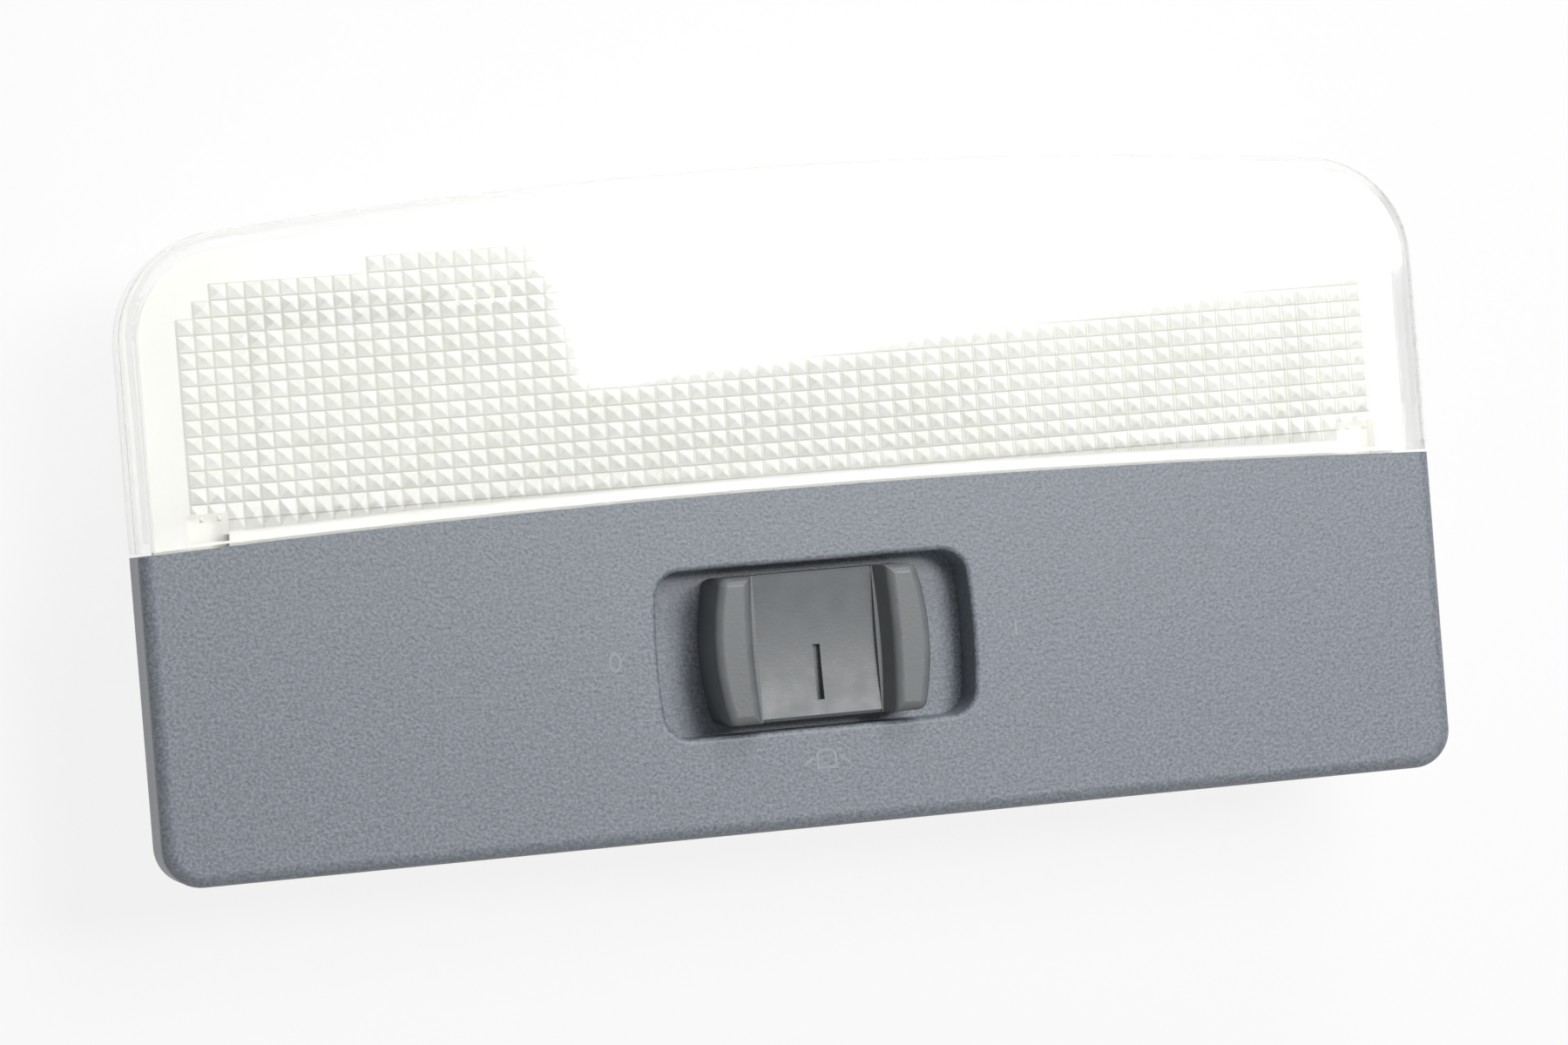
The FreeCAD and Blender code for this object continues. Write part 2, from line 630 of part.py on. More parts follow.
def switch_panel(front):
    """Grey half of the front: skirted plate with the slider's recess, slot and guide rails, and its snap legs."""
    plate = front.common(panel_side(-FOLD_GAP / 2, -1, FACE_HEIGHT + 1))
    plate = plate.cut(prism(outline(SKIRT_WALL), -1, UNDERSIDE))
    tub = barrel_prism(RECESS_LENGTH + 2 * RECESS_WALL, RECESS_HEIGHT + 2 * RECESS_WALL, RECESS_BULGE,
                       RECESS_CORNER + RECESS_WALL, RECESS_UNDERSIDE, UNDERSIDE + FRONT_WALL / 4)
    rail_half = CARRIER_LENGTH / 2 + SLIDE_TRAVEL + RAIL_CLEARANCE
    rail_near = CARRIER_WIDTH / 2 + RAIL_CLEARANCE
    rail = block(-rail_half, rail_half, rail_near, rail_near + RAIL_WALL, CARRIER_BOTTOM, RECESS_UNDERSIDE)
    upper_rail = rail.translated(V(0, SLIDER_Y, 0))
    lower_rail = rail.translated(V(0, SLIDER_Y - 2 * rail_near - RAIL_WALL, 0))
    for place in (-SLIDE_TRAVEL, 0, SLIDE_TRAVEL):
        mouth = SLIDER_Y + rail_near
        notch = polygon([(place - 2 * DETENT_NOTCH, mouth, CARRIER_BOTTOM - 1),
                         (place, mouth + 1.4 * DETENT_NOTCH, CARRIER_BOTTOM - 1),
                         (place + 2 * DETENT_NOTCH, mouth, CARRIER_BOTTOM - 1)])
        upper_rail = upper_rail.cut(notch.extrude(V(0, 0, CARRIER_WALL + 1)))
    pieces = [plate, tub, upper_rail, lower_rail]
    for x in PANEL_LEG_PLACES:
        pieces.append(leg_along_y(x, BODY_INNER_BOTTOM, -1))
    for side in (-1, 1):
        pieces.append(leg_along_x(PANEL_END_LEG_Y, side * BODY_INNER_HALF, side))
    panel = joined(pieces)
    panel = panel.cut(barrel_prism(RECESS_LENGTH, RECESS_HEIGHT, RECESS_BULGE, RECESS_CORNER,
                                   RECESS_BOTTOM, FACE_HEIGHT + 1))
    slot_half = STEM_LENGTH / 2 + SLIDE_TRAVEL + STEM_CLEARANCE
    slot_side = STEM_WIDTH / 2 + STEM_CLEARANCE
    panel = panel.cut(block(-slot_half, slot_half, SLIDER_Y - slot_side, SLIDER_Y + slot_side,
                            RECESS_UNDERSIDE - 1, RECESS_BOTTOM + 1))
    mouth_edges = []
    for edge in panel.Edges:
        box = edge.BoundBox
        flat = box.ZMin > FACE_HEIGHT - 0.01
        near = abs(box.Center.x) <= RECESS_LENGTH / 2 and abs(box.Center.y - SLIDER_Y) <= RECESS_HEIGHT / 2 + 0.01
        if flat and near:
            mouth_edges.append(edge)
    return panel.makeFillet(RECESS_ROUND, mouth_edges)


def gusset(x):
    """A sloping rib between the deep lamp tray and the shallow switch bay."""
    root = fold_height(x) - PARTITION / 2 + BODY_WALL / 2
    face = polygon([(x - GUSSET_WALL / 2, root, -BAY_DEPTH + BAY_FLOOR / 2),
                    (x - GUSSET_WALL / 2, root, -BAY_DEPTH - GUSSET_DROP),
                    (x - GUSSET_WALL / 2, BODY_BOTTOM + BODY_CORNER, -BAY_DEPTH + BAY_FLOOR / 2)])
    return face.extrude(V(GUSSET_WALL, 0, 0))


def roof_tongue(y):
    """A fixed tongue that slides over the back of the roof lining, with a lead-in and a gusset."""
    root = -BODY_HALF + BODY_WALL / 2
    tip = -BODY_HALF - HOOK_TONGUE_LENGTH
    top = -LINING_GRIP
    side = polygon([(root, y - HOOK_TONGUE_WIDTH / 2, top), (tip + HOOK_TONGUE_WALL / 2, y - HOOK_TONGUE_WIDTH / 2, top),
                    (tip, y - HOOK_TONGUE_WIDTH / 2, top - HOOK_TONGUE_WALL / 2),
                    (tip, y - HOOK_TONGUE_WIDTH / 2, top - HOOK_TONGUE_WALL),
                    (-BODY_HALF - BODY_WALL, y - HOOK_TONGUE_WIDTH / 2, top - HOOK_TONGUE_WALL),
                    (root, y - HOOK_TONGUE_WIDTH / 2, top - 2 * HOOK_TONGUE_WALL)])
    return side.extrude(V(0, HOOK_TONGUE_WIDTH, 0))


CLIP_Y = LAMP_Y
CLIP_TOP = -LINING_GRIP - CLIP_STEEL
CLIP_BOTTOM = CLIP_TOP - CLIP_LENGTH
CLIP_FACE = BODY_HALF + CLIP_CLEARANCE


def clip_rail(side):
    """One of the two moulded channels that hold the spring clip's inner leg against the end wall."""
    edge = CLIP_Y + side * (CLIP_WIDTH / 2 + CLIP_CLEARANCE)
    outer = edge + side * CLIP_RAIL_WALL
    lip = edge - side * (CLIP_RAIL_LIP + CLIP_CLEARANCE)
    lip_near = CLIP_FACE + CLIP_STEEL + CLIP_CLEARANCE
    low = CLIP_BOTTOM + CLIP_STEEL + 2 * CLIP_BEND
    high = CLIP_TOP - 2 * CLIP_BEND
    wall = block(BODY_HALF - BODY_WALL / 2, lip_near + CLIP_RAIL_WALL, min(edge, outer), max(edge, outer), low, high)
    cover = block(lip_near, lip_near + CLIP_RAIL_WALL, min(lip, outer), max(lip, outer), low, high)
    return wall.fuse(cover)


def plug_socket():
    """The shroud round the three pins, open to the back."""
    half_x = SOCKET_LENGTH / 2 + SOCKET_WALL
    half_y = SOCKET_WIDTH / 2 + SOCKET_WALL
    face = rounded_rectangle(SOCKET_X - half_x, SOCKET_X + half_x, SOCKET_Y - half_y, SOCKET_Y + half_y, SOCKET_WALL)
    return prism(face, -LAMP_DEPTH, BAY_FLOOR / 2 - BAY_DEPTH)


def housing():
    """White tray: flange, deep lamp trough, shallow switch bay, plug socket, roof tongues and clip channels."""
    flange = prism(outline(SKIRT_WALL + SKIRT_CLEARANCE), 0, FLANGE)
    body_face = rounded_rectangle(-BODY_HALF, BODY_HALF, BODY_BOTTOM, BODY_TOP, BODY_CORNER)
    body = prism(body_face, -LAMP_DEPTH, FLANGE / 2)
    under_bay = panel_side(-PARTITION / 2, -LAMP_DEPTH - 1, -BAY_DEPTH)
    body = body.cut(under_bay)
    wall_top = prism(rounded_rectangle(-BODY_HALF, BODY_HALF, BODY_BOTTOM, BODY_TOP, BODY_CORNER), 0, PARTITION_TOP)
    partition = wall_top.common(panel_side(PARTITION / 2, -1, FACE_HEIGHT)).common(lens_side(-PARTITION / 2, -1, FACE_HEIGHT))
    solid = joined([flange, body, partition, plug_socket()])

    inner_face = rounded_rectangle(-BODY_INNER_HALF, BODY_INNER_HALF, BODY_INNER_BOTTOM, BODY_INNER_TOP,
                                   BODY_CORNER - BODY_WALL)
    inner = prism(inner_face, LAMP_FLOOR, FACE_HEIGHT)
    lamp_space = inner.common(lens_side(PARTITION / 2, LAMP_FLOOR - 1, FACE_HEIGHT))
    bay_space = inner.common(panel_side(-PARTITION / 2, BAY_TOP, FACE_HEIGHT))
    solid = solid.cut(lamp_space).cut(bay_space)

    extras = [gusset(x) for x in GUSSET_PLACES]
    extras += [roof_tongue(y) for y in HOOK_TONGUE_PLACES]
    extras += [clip_rail(side) for side in (-1, 1)]
    for x, y in PILLARS:
        extras.append(post(x, y, LAMP_FLOOR - BODY_WALL / 2, REFLECTOR_RIM_Z, PILLAR_RADIUS))
        extras.append(stake(x, y, REFLECTOR_RIM_Z - 1, REFLECTOR_RIM_Z + REFLECTOR_SHEET))
    for x, y in STRIP_STAKES:
        extras.append(stake(x, y, BAY_TOP - BAY_FLOOR / 2, STRIP_TOP))
    solid = joined([solid] + extras)

    cuts = [window_in_y(x, BODY_BOTTOM - 1, BODY_INNER_BOTTOM + 0.1) for x in PANEL_LEG_PLACES]
    cuts += [window_in_y(x, BODY_INNER_TOP - 0.1, BODY_TOP + 1) for x in LENS_LEG_PLACES]
    cuts.append(window_in_x(PANEL_END_LEG_Y, -BODY_HALF - 1, -BODY_INNER_HALF + 0.1))
    cuts.append(window_in_x(PANEL_END_LEG_Y, BODY_INNER_HALF - 0.1, BODY_HALF + 1))
    cuts.append(block(SOCKET_X - SOCKET_LENGTH / 2, SOCKET_X + SOCKET_LENGTH / 2, SOCKET_Y - SOCKET_WIDTH / 2,
                      SOCKET_Y + SOCKET_WIDTH / 2, -LAMP_DEPTH - 1, -BAY_DEPTH))
    latch_z = -(LAMP_DEPTH + BAY_DEPTH) / 2
    cuts.append(block(SOCKET_X - LATCH_WIDTH / 2, SOCKET_X + LATCH_WIDTH / 2, SOCKET_Y - SOCKET_WIDTH,
                      SOCKET_Y - SOCKET_WIDTH / 2 + 0.1, latch_z - LATCH_HEIGHT / 2, latch_z + LATCH_HEIGHT / 2))
    slit = STRIP_WIDTH / 2 + STRIP_CLEARANCE
    bend_room = STRIP_BRASS + STRIP_BEND + STRIP_CLEARANCE
    for x in (SUPPLY_X, DOOR_X, GROUND_X):
        cuts.append(block(x - slit, x + slit, SOCKET_Y - bend_room, SOCKET_Y + bend_room,
                          -BAY_DEPTH - 1, BAY_TOP + 0.1))
    for x in (SUPPLY_X, LAMP_STRIP_X):
        cuts.append(block(x - slit, x + slit, fold_height(x) - PARTITION, fold_height(x) + PARTITION,
                          BAY_TOP, STRIP_TOP + STRIP_CLEARANCE))
    first_vent = -(VENT_COUNT - 1) * VENT_PITCH / 2
    for step in range(VENT_COUNT):
        x = first_vent + step * VENT_PITCH
        slot = rounded_rectangle(x - VENT_WIDTH / 2, x + VENT_WIDTH / 2, LAMP_Y - VENT_LENGTH / 2,
                                 LAMP_Y + VENT_LENGTH / 2, VENT_WIDTH * 0.45)
        cuts.append(prism(slot, -LAMP_DEPTH - 1, LAMP_FLOOR + 1))
    return solid.cut(cuts)


def slider_knob():
    """Grey knob: finger pad between two raised ridges, pointer groove, hollow back and the stem through the panel."""
    low = RECESS_BOTTOM + KNOB_CLEARANCE
    crest = FACE_HEIGHT + RIDGE_HEIGHT
    knob = barrel_prism(KNOB_LENGTH, KNOB_HEIGHT, KNOB_BULGE, KNOB_CORNER, low, crest)
    foot = barrel(PAD_LENGTH, KNOB_HEIGHT + 2, PAD_BULGE).translated(V(0, 0, FACE_HEIGHT))
    mouth = barrel(PAD_LENGTH + 2 * PAD_SLOPE, KNOB_HEIGHT + 2, PAD_BULGE).translated(V(0, 0, crest))
    valley = Part.makeLoft([foot.OuterWire, mouth.OuterWire], True, True)
    knob = knob.cut(valley)
    crest_edges = [e for e in knob.Edges if e.BoundBox.ZMin > crest - 0.01]
    knob = knob.makeFillet(RIDGE_ROUND, crest_edges)
    hollow = Part.makeCylinder(PAD_HOLLOW_RADIUS, PAD_LENGTH - 2 * PAD_BULGE,
                               V(PAD_BULGE - PAD_LENGTH / 2, SLIDER_Y, FACE_HEIGHT + PAD_HOLLOW_RADIUS
                                 - KNOB_HEIGHT ** 2 / (8 * PAD_HOLLOW_RADIUS)), V(1, 0, 0))
    knob = knob.cut(hollow)
    pad_start = PAD_BULGE - PAD_LENGTH / 2
    for side in (-1, 1):
        edge = SLIDER_Y + side * KNOB_HEIGHT / 2
        wedge = polygon([(pad_start, edge + side, FACE_HEIGHT - PAD_CHAMFER - 1),
                         (pad_start, edge + side, FACE_HEIGHT + 1),
                         (pad_start, edge - side * (PAD_CHAMFER + 1), FACE_HEIGHT + 1)])
        knob = knob.cut(wedge.extrude(V(PAD_LENGTH - 2 * PAD_BULGE, 0, 0)))
    back = barrel_prism(KNOB_LENGTH - 2 * KNOB_WALL, KNOB_HEIGHT - 2 * KNOB_WALL, KNOB_BULGE, KNOB_CORNER / 2,
                        low - 1, FACE_HEIGHT - 2 * KNOB_WALL)
    knob = knob.cut(back)
    barb_top = CARRIER_BOTTOM - KNOB_CLEARANCE
    stem = block(-STEM_LENGTH / 2, STEM_LENGTH / 2, SLIDER_Y - STEM_WIDTH / 2, SLIDER_Y + STEM_WIDTH / 2,
                 barb_top - STEM_BARB_HEIGHT, FACE_HEIGHT - 1.5 * KNOB_WALL)
    half = STEM_WIDTH / 2
    barb = polygon([(-STEM_LENGTH / 2, SLIDER_Y - half - STEM_BARB, barb_top),
                    (-STEM_LENGTH / 2, SLIDER_Y + half + STEM_BARB, barb_top),
                    (-STEM_LENGTH / 2, SLIDER_Y + half, barb_top - STEM_BARB_HEIGHT),
                    (-STEM_LENGTH / 2, SLIDER_Y - half, barb_top - STEM_BARB_HEIGHT)]).extrude(V(STEM_LENGTH, 0, 0))
    knob = joined([knob, stem, barb])
    pointer_top = SLIDER_Y
    pad_low = FACE_HEIGHT - KNOB_HEIGHT ** 2 / (8 * PAD_HOLLOW_RADIUS) - POINTER_DEPTH
    pointer = block(-POINTER_WIDTH / 2, POINTER_WIDTH / 2, pointer_top - POINTER_LENGTH, pointer_top, pad_low, crest)
    return knob.cut(pointer)


def slider_carrier():
    """Plate snapped onto the stem behind the panel; it carries the wiper below and the detent spring at its side."""
    half_x = CARRIER_LENGTH / 2
    half_y = CARRIER_WIDTH / 2
    plate = block(-half_x, half_x, SLIDER_Y - half_y, SLIDER_Y + half_y, CARRIER_BOTTOM, CARRIER_TOP)
    hole = block(-STEM_LENGTH / 2 - STEM_CLEARANCE / 2, STEM_LENGTH / 2 + STEM_CLEARANCE / 2,
                 SLIDER_Y - STEM_WIDTH / 2 - STEM_CLEARANCE / 2, SLIDER_Y + STEM_WIDTH / 2 + STEM_CLEARANCE / 2,
                 CARRIER_BOTTOM - 1, CARRIER_TOP + 1)
    pocket_half = DETENT_HALF_LENGTH + STEM_CLEARANCE
    pocket = block(-pocket_half, pocket_half, SLIDER_Y + half_y - DETENT_POCKET, SLIDER_Y + half_y + 1,
                   CARRIER_BOTTOM - 1, CARRIER_TOP - (CARRIER_WALL - DETENT_HEIGHT) / 2)
    stud = post(WIPER_OFFSET, SLIDER_Y, CARRIER_BOTTOM - WIPER_BRONZE - STAKE_HEAD_HEIGHT, CARRIER_BOTTOM + 0.5,
                STAKE_RADIUS)
    head = post(WIPER_OFFSET, SLIDER_Y, CARRIER_BOTTOM - WIPER_BRONZE - STAKE_HEAD_HEIGHT,
                CARRIER_BOTTOM - WIPER_BRONZE, STAKE_HEAD_RADIUS)
    return joined([plate.cut(hole).cut(pocket), stud, head])


def wiper_contact():
    """Bronze bridge under the carrier: a flat root and two sprung arms with shoes on the tracks."""
    root = CARRIER_BOTTOM - WIPER_BRONZE / 2
    shoe = STRIP_TOP + WIPER_GAP + WIPER_BRONZE / 2
    arm = [(WIPER_SHOE + 1.9, shoe + 1.5), (WIPER_SHOE + 0.7, shoe), (WIPER_SHOE - 0.7, shoe), (WIPER_SHOE - 1.5, root)]
    path = [(SLIDER_Y - u, v) for u, v in arm] + [(SLIDER_Y + u, v) for u, v in reversed(arm)]
    bridge = strip_in_yz(path, WIPER_OFFSET, WIPER_WIDTH, WIPER_BRONZE, WIPER_BEND)
    return bridge.cut(stake_hole(WIPER_OFFSET, SLIDER_Y, CARRIER_BOTTOM - 1, CARRIER_BOTTOM + 1))


def detent_spring():
    """Steel leaf in the carrier's side pocket whose nose drops into the notches of the rail."""
    back = SLIDER_Y + CARRIER_WIDTH / 2 - DETENT_POCKET + DETENT_STEEL / 2
    path = [(-DETENT_HALF_LENGTH, back), (-1.9, back + 0.25), (0, back + DETENT_NOSE), (1.9, back + 0.25),
            (DETENT_HALF_LENGTH, back)]
    low = CARRIER_BOTTOM + STEM_CLEARANCE
    tall = DETENT_HEIGHT - 2 * STEM_CLEARANCE
    return folded_strip(path, DETENT_STEEL, DETENT_BEND, lambda u, v: V(u, v, low), V(0, 0, tall))


def lamp_leaf(side, strip_x):
    """The upright spring leaf that grips one end of the lamp, with its run along the tray's floor."""
    x = side * (LEAF_X + STRIP_BRASS / 2)
    path = [(side * strip_x, LAMP_STRIP_MIDDLE), (x, LAMP_STRIP_MIDDLE), (x, LEAF_TOP - 2), (x + side * LEAF_FLARE, LEAF_TOP)]
    leaf = strip_in_xz(path, LAMP_Y, LEAF_WIDTH)
    share = (NOSE_END - LEAF_X) / CAP_NOSE_LENGTH
    nose = CAP_NOSE_RADIUS + share * (CAP_RADIUS - CAP_NOSE_RADIUS) + STRIP_CLEARANCE / 2
    hole = Part.makeCylinder(nose, 2, V(x - 1, LAMP_Y, LAMP_Z), V(1, 0, 0))
    return leaf.cut(hole)


def strip_to_lamp(x, bay_start):
    """A strip from the switch bay, through the partition and down to the floor of the lamp trough."""
    return bay_start + [(LAMP_STRIP_DROP, STRIP_MIDDLE), (LAMP_STRIP_DROP, LAMP_STRIP_MIDDLE),
                        (LAMP_Y + LEAF_WIDTH / 2, LAMP_STRIP_MIDDLE)]


def pin_start():
    """A pin of the plug socket and its bend onto the floor of the switch bay."""
    return [(SOCKET_Y, -LAMP_DEPTH + PIN_RECESS), (SOCKET_Y, STRIP_MIDDLE)]


def flat(x0, x1, y0, y1):
    return block(x0, x1, y0, y1, BAY_TOP, STRIP_TOP)


def supply_strip():
    """Brass strip from the supply pin to the left end of the lamp."""
    strip = strip_in_yz(strip_to_lamp(SUPPLY_X, pin_start()), SUPPLY_X)
    whole = joined([strip, lamp_leaf(-1, -SUPPLY_X)])
    return whole.cut(stake_hole(*SUPPLY_STAKE, BAY_TOP - 1, STRIP_TOP + 1))


def lamp_strip():
    """Brass strip from the right end of the lamp to the switch's common track."""
    strip = strip_in_yz(strip_to_lamp(LAMP_STRIP_X, [(TRACK_Y - TRACK_WIDTH / 2, STRIP_MIDDLE)]), LAMP_STRIP_X)
    reach = SLIDE_TRAVEL + TRACK_PAD / 2
    track = flat(WIPER_X - reach, LAMP_STRIP_X, TRACK_Y - TRACK_WIDTH / 2, TRACK_Y + TRACK_WIDTH / 2)
    whole = joined([strip, lamp_leaf(1, LAMP_STRIP_X), track])
    return whole.cut(stake_hole(*LAMP_STAKE, BAY_TOP - 1, STRIP_TOP + 1))


def pin_strip(pin_x, pad_x, run_y, stake_place):
    """Brass strip from a pin to its pad under the wiper, along its own run on the bay's floor."""
    half = STRIP_WIDTH / 2
    pin = strip_in_yz(pin_start() + [(run_y - RUN_WIDTH / 2, STRIP_MIDDLE)], pin_x)
    run = flat(pin_x - half, pad_x + TRACK_PAD / 2, run_y - RUN_WIDTH / 2, run_y + RUN_WIDTH / 2)
    pad = flat(pad_x - TRACK_PAD / 2, pad_x + TRACK_PAD / 2, run_y, PAD_Y + TRACK_WIDTH / 2)
    return joined([pin, run, pad]).cut(stake_hole(*stake_place, BAY_TOP - 1, STRIP_TOP + 1))


def door_strip():
    return pin_strip(DOOR_X, WIPER_X, DOOR_RUN_Y, DOOR_STAKE)


def ground_strip():
    return pin_strip(GROUND_X, GROUND_PAD_X, GROUND_RUN_Y, GROUND_STAKE)


def retaining_clip():
    """Spring steel clip: a flat leg in the end wall's channels and a bowed leg that snaps behind the roof lining."""
    near = CLIP_FACE + CLIP_STEEL / 2
    out = BODY_HALF + CLIP_BULGE
    turn = near + 2 * CLIP_BEND + CLIP_STEEL
    path = [(near, CLIP_TOP - CLIP_BEND), (near, CLIP_BOTTOM), (turn, CLIP_BOTTOM), (out, CLIP_TOP - 3.0),
            (out - 1.8, CLIP_TOP)]
    return strip_in_xz(path, CLIP_Y, CLIP_WIDTH, CLIP_STEEL, CLIP_BEND * 0.9)


def turned(points):
    """A solid of revolution about the lamp's axis from (x, radius) points."""
    outline_points = [(x, LAMP_Y + r, LAMP_Z) for x, r in points]
    return polygon(outline_points).revolve(V(0, LAMP_Y, LAMP_Z), V(1, 0, 0), 360)


def bulb_glass():
    """Clear tube with shouldered ends, hollow inside."""
    shoulder = GLASS_HALF_LENGTH - GLASS_SHOULDER / 2
    neck = GLASS_HALF_LENGTH + GLASS_SHOULDER / 2
    end = neck + GLASS_NECK_LENGTH
    wall = GLASS_WALL

    def tube(body, tip, length):
        half = [(shoulder, body), (neck, tip), (length, tip)]
        return turned([(-x, r) for x, r in reversed(half)] + half + [(length, 0), (-length, 0)])

    return tube(GLASS_RADIUS, GLASS_NECK_RADIUS, end).cut(
        tube(GLASS_RADIUS - wall, GLASS_NECK_RADIUS - wall, end - wall))


def bulb_cap(side):
    """Nickelled cup on one end of the glass, with the cone that seats in its leaf."""
    start = GLASS_HALF_LENGTH + GLASS_SHOULDER / 2
    bore_end = start + GLASS_NECK_LENGTH + 0.1
    straight = GLASS_HALF_LENGTH + CAP_LENGTH
    bore = GLASS_NECK_RADIUS + 0.05
    points = [(start, bore), (start, CAP_RADIUS), (straight, CAP_RADIUS), (NOSE_END, CAP_NOSE_RADIUS), (NOSE_END, 0),
              (bore_end, 0), (bore_end, bore)]
    return turned([(side * x, r) for x, r in points])


def bulb_filament():
    """Coiled tungsten filament along the middle of the glass."""
    half = FILAMENT_HALF_LENGTH
    return turned([(-half, 0), (-half, FILAMENT_RADIUS), (half, FILAMENT_RADIUS), (half, 0)])


def bulb_lead(side):
    """Wire from one end of the filament to the pinched end of the glass."""
    end = GLASS_HALF_LENGTH + GLASS_SHOULDER / 2 + GLASS_NECK_LENGTH - GLASS_WALL
    start = FILAMENT_HALF_LENGTH
    return turned([(side * start, 0), (side * start, LEAD_RADIUS), (side * end, LEAD_RADIUS), (side * end, 0)])


def reflector():
    """Pressed aluminium trough behind the lamp, with a rim on four pillars and slots for the spring leaves."""
    rim_top = REFLECTOR_RIM_Z + REFLECTOR_SHEET
    floor = REFLECTOR_RIM_Z - REFLECTOR_DEPTH

    def level(half_x, width, corner, z):
        face = rounded_rectangle(-half_x, half_x, LAMP_Y - width / 2, LAMP_Y + width / 2, corner)
        return face.translated(V(0, 0, z)).OuterWire

    def trough(inset, z_low, z_high):
        top = level(REFLECTOR_HALF - inset, REFLECTOR_TOP_WIDTH - 2 * inset, REFLECTOR_CORNER, z_high)
        bottom = level(REFLECTOR_FLOOR_HALF - inset, REFLECTOR_FLOOR_WIDTH - 2 * inset, REFLECTOR_CORNER, z_low)
        return Part.makeLoft([bottom, top], True, True)

    rim_half_y = REFLECTOR_RIM_WIDTH / 2
    rim_face = rounded_rectangle(-REFLECTOR_RIM_HALF, REFLECTOR_RIM_HALF, LAMP_Y - rim_half_y, LAMP_Y + rim_half_y,
                                 REFLECTOR_CORNER)
    sheet = joined([prism(rim_face, REFLECTOR_RIM_Z, rim_top), trough(0, floor, rim_top)])
    sheet = sheet.cut(trough(REFLECTOR_SHEET, floor + REFLECTOR_SHEET, rim_top + 0.001))
    for x, y in PILLARS:
        sheet = sheet.cut(stake_hole(x, y, REFLECTOR_RIM_Z - 1, rim_top + 1))
    slot_y = LEAF_WIDTH / 2 + REFLECTOR_SLOT
    for side in (-1, 1):
        x = side * (LEAF_X + STRIP_BRASS / 2)
        sheet = sheet.cut(block(x - REFLECTOR_SLOT, x + REFLECTOR_SLOT, LAMP_Y - slot_y, LAMP_Y + slot_y,
                                floor - 1, floor + REFLECTOR_SHEET + 1.5))
    return sheet


def main():
    front = front_block()
    pieces = {
        "lens": lens(front),
        "switch_panel": switch_panel(front),
        "housing": housing(),
        "reflector": reflector(),
        "bulb_glass": bulb_glass(),
        "bulb_filament": bulb_filament(),
        "bulb_lead_left": bulb_lead(-1),
        "bulb_lead_right": bulb_lead(1),
        "bulb_cap_left": bulb_cap(-1),
        "bulb_cap_right": bulb_cap(1),
        "supply_strip": supply_strip(),
        "lamp_strip": lamp_strip(),
        "door_strip": door_strip(),
        "ground_strip": ground_strip(),
        "retaining_clip": retaining_clip(),
        "slider_knob": slider_knob(),
        "slider_carrier": slider_carrier(),
        "wiper_contact": wiper_contact(),
        "detent_spring": detent_spring(),
    }
    os.makedirs("parts", exist_ok=True)
    for name, shape in pieces.items():
        shape.exportStep(os.path.join("parts", name + ".step"))


main()
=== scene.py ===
import logging
import math
from dataclasses import dataclass, field
from enum import Enum
from typing import Any, Dict, List, Sequence, Tuple, Union

import bpy
from mathutils import Matrix, Quaternion, Vector


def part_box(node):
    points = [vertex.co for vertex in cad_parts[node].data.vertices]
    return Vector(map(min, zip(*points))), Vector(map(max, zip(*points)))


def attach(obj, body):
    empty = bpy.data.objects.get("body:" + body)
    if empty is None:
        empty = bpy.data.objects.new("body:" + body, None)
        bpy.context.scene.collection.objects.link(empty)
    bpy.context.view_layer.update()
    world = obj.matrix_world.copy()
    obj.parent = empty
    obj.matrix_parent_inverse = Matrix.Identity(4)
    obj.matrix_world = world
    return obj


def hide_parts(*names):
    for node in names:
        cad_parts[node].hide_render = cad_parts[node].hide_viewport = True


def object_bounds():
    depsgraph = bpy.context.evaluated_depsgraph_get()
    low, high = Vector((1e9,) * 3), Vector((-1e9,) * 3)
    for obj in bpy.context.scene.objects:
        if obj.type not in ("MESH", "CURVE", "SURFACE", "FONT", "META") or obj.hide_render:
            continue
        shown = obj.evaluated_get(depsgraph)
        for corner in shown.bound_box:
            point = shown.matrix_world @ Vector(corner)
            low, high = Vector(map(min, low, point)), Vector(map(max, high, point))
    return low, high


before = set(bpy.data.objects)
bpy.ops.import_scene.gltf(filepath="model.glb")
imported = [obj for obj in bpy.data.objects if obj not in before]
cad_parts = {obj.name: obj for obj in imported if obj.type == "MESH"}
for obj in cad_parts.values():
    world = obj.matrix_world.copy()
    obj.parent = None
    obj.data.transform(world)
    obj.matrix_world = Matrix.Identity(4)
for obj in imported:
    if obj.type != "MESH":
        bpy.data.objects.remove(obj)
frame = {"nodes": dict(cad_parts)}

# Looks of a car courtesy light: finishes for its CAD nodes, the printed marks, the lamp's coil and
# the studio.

log = logging.getLogger("courtesy_light")
CAD_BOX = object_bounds()
MM = 0.001
LAMP_BODY = "lamp"
# Most of what a noise texture gives lies between these two.
NOISE_LOW, NOISE_HIGH = 0.3, 0.7
SHADE_DETAIL, GRAIN_DETAIL = 3.0, 2.0
Point = Tuple[float, float, float]
Key = Union[str, int]


class Path(Enum):
    """Whether a printed line ends or closes on its start."""

    OPEN = "open"
    CLOSED = "closed"


def linear(hex_colour: str) -> Tuple[float, float, float, float]:
    """Turns an sRGB hex colour into the linear colour that shaders take.

    Args:
        hex_colour: Six hex digits, with or without a leading hash.

    Returns:
        Linear red, green, blue and an alpha of 1.
    """
    digits = hex_colour.lstrip("#")
    parts = [int(digits[i:i + 2], 16) / 255 for i in (0, 2, 4)]
    curve = [p / 12.92 if p <= 0.04045 else ((p + 0.055) / 1.055) ** 2.4 for p in parts]
    return (curve[0], curve[1], curve[2], 1.0)


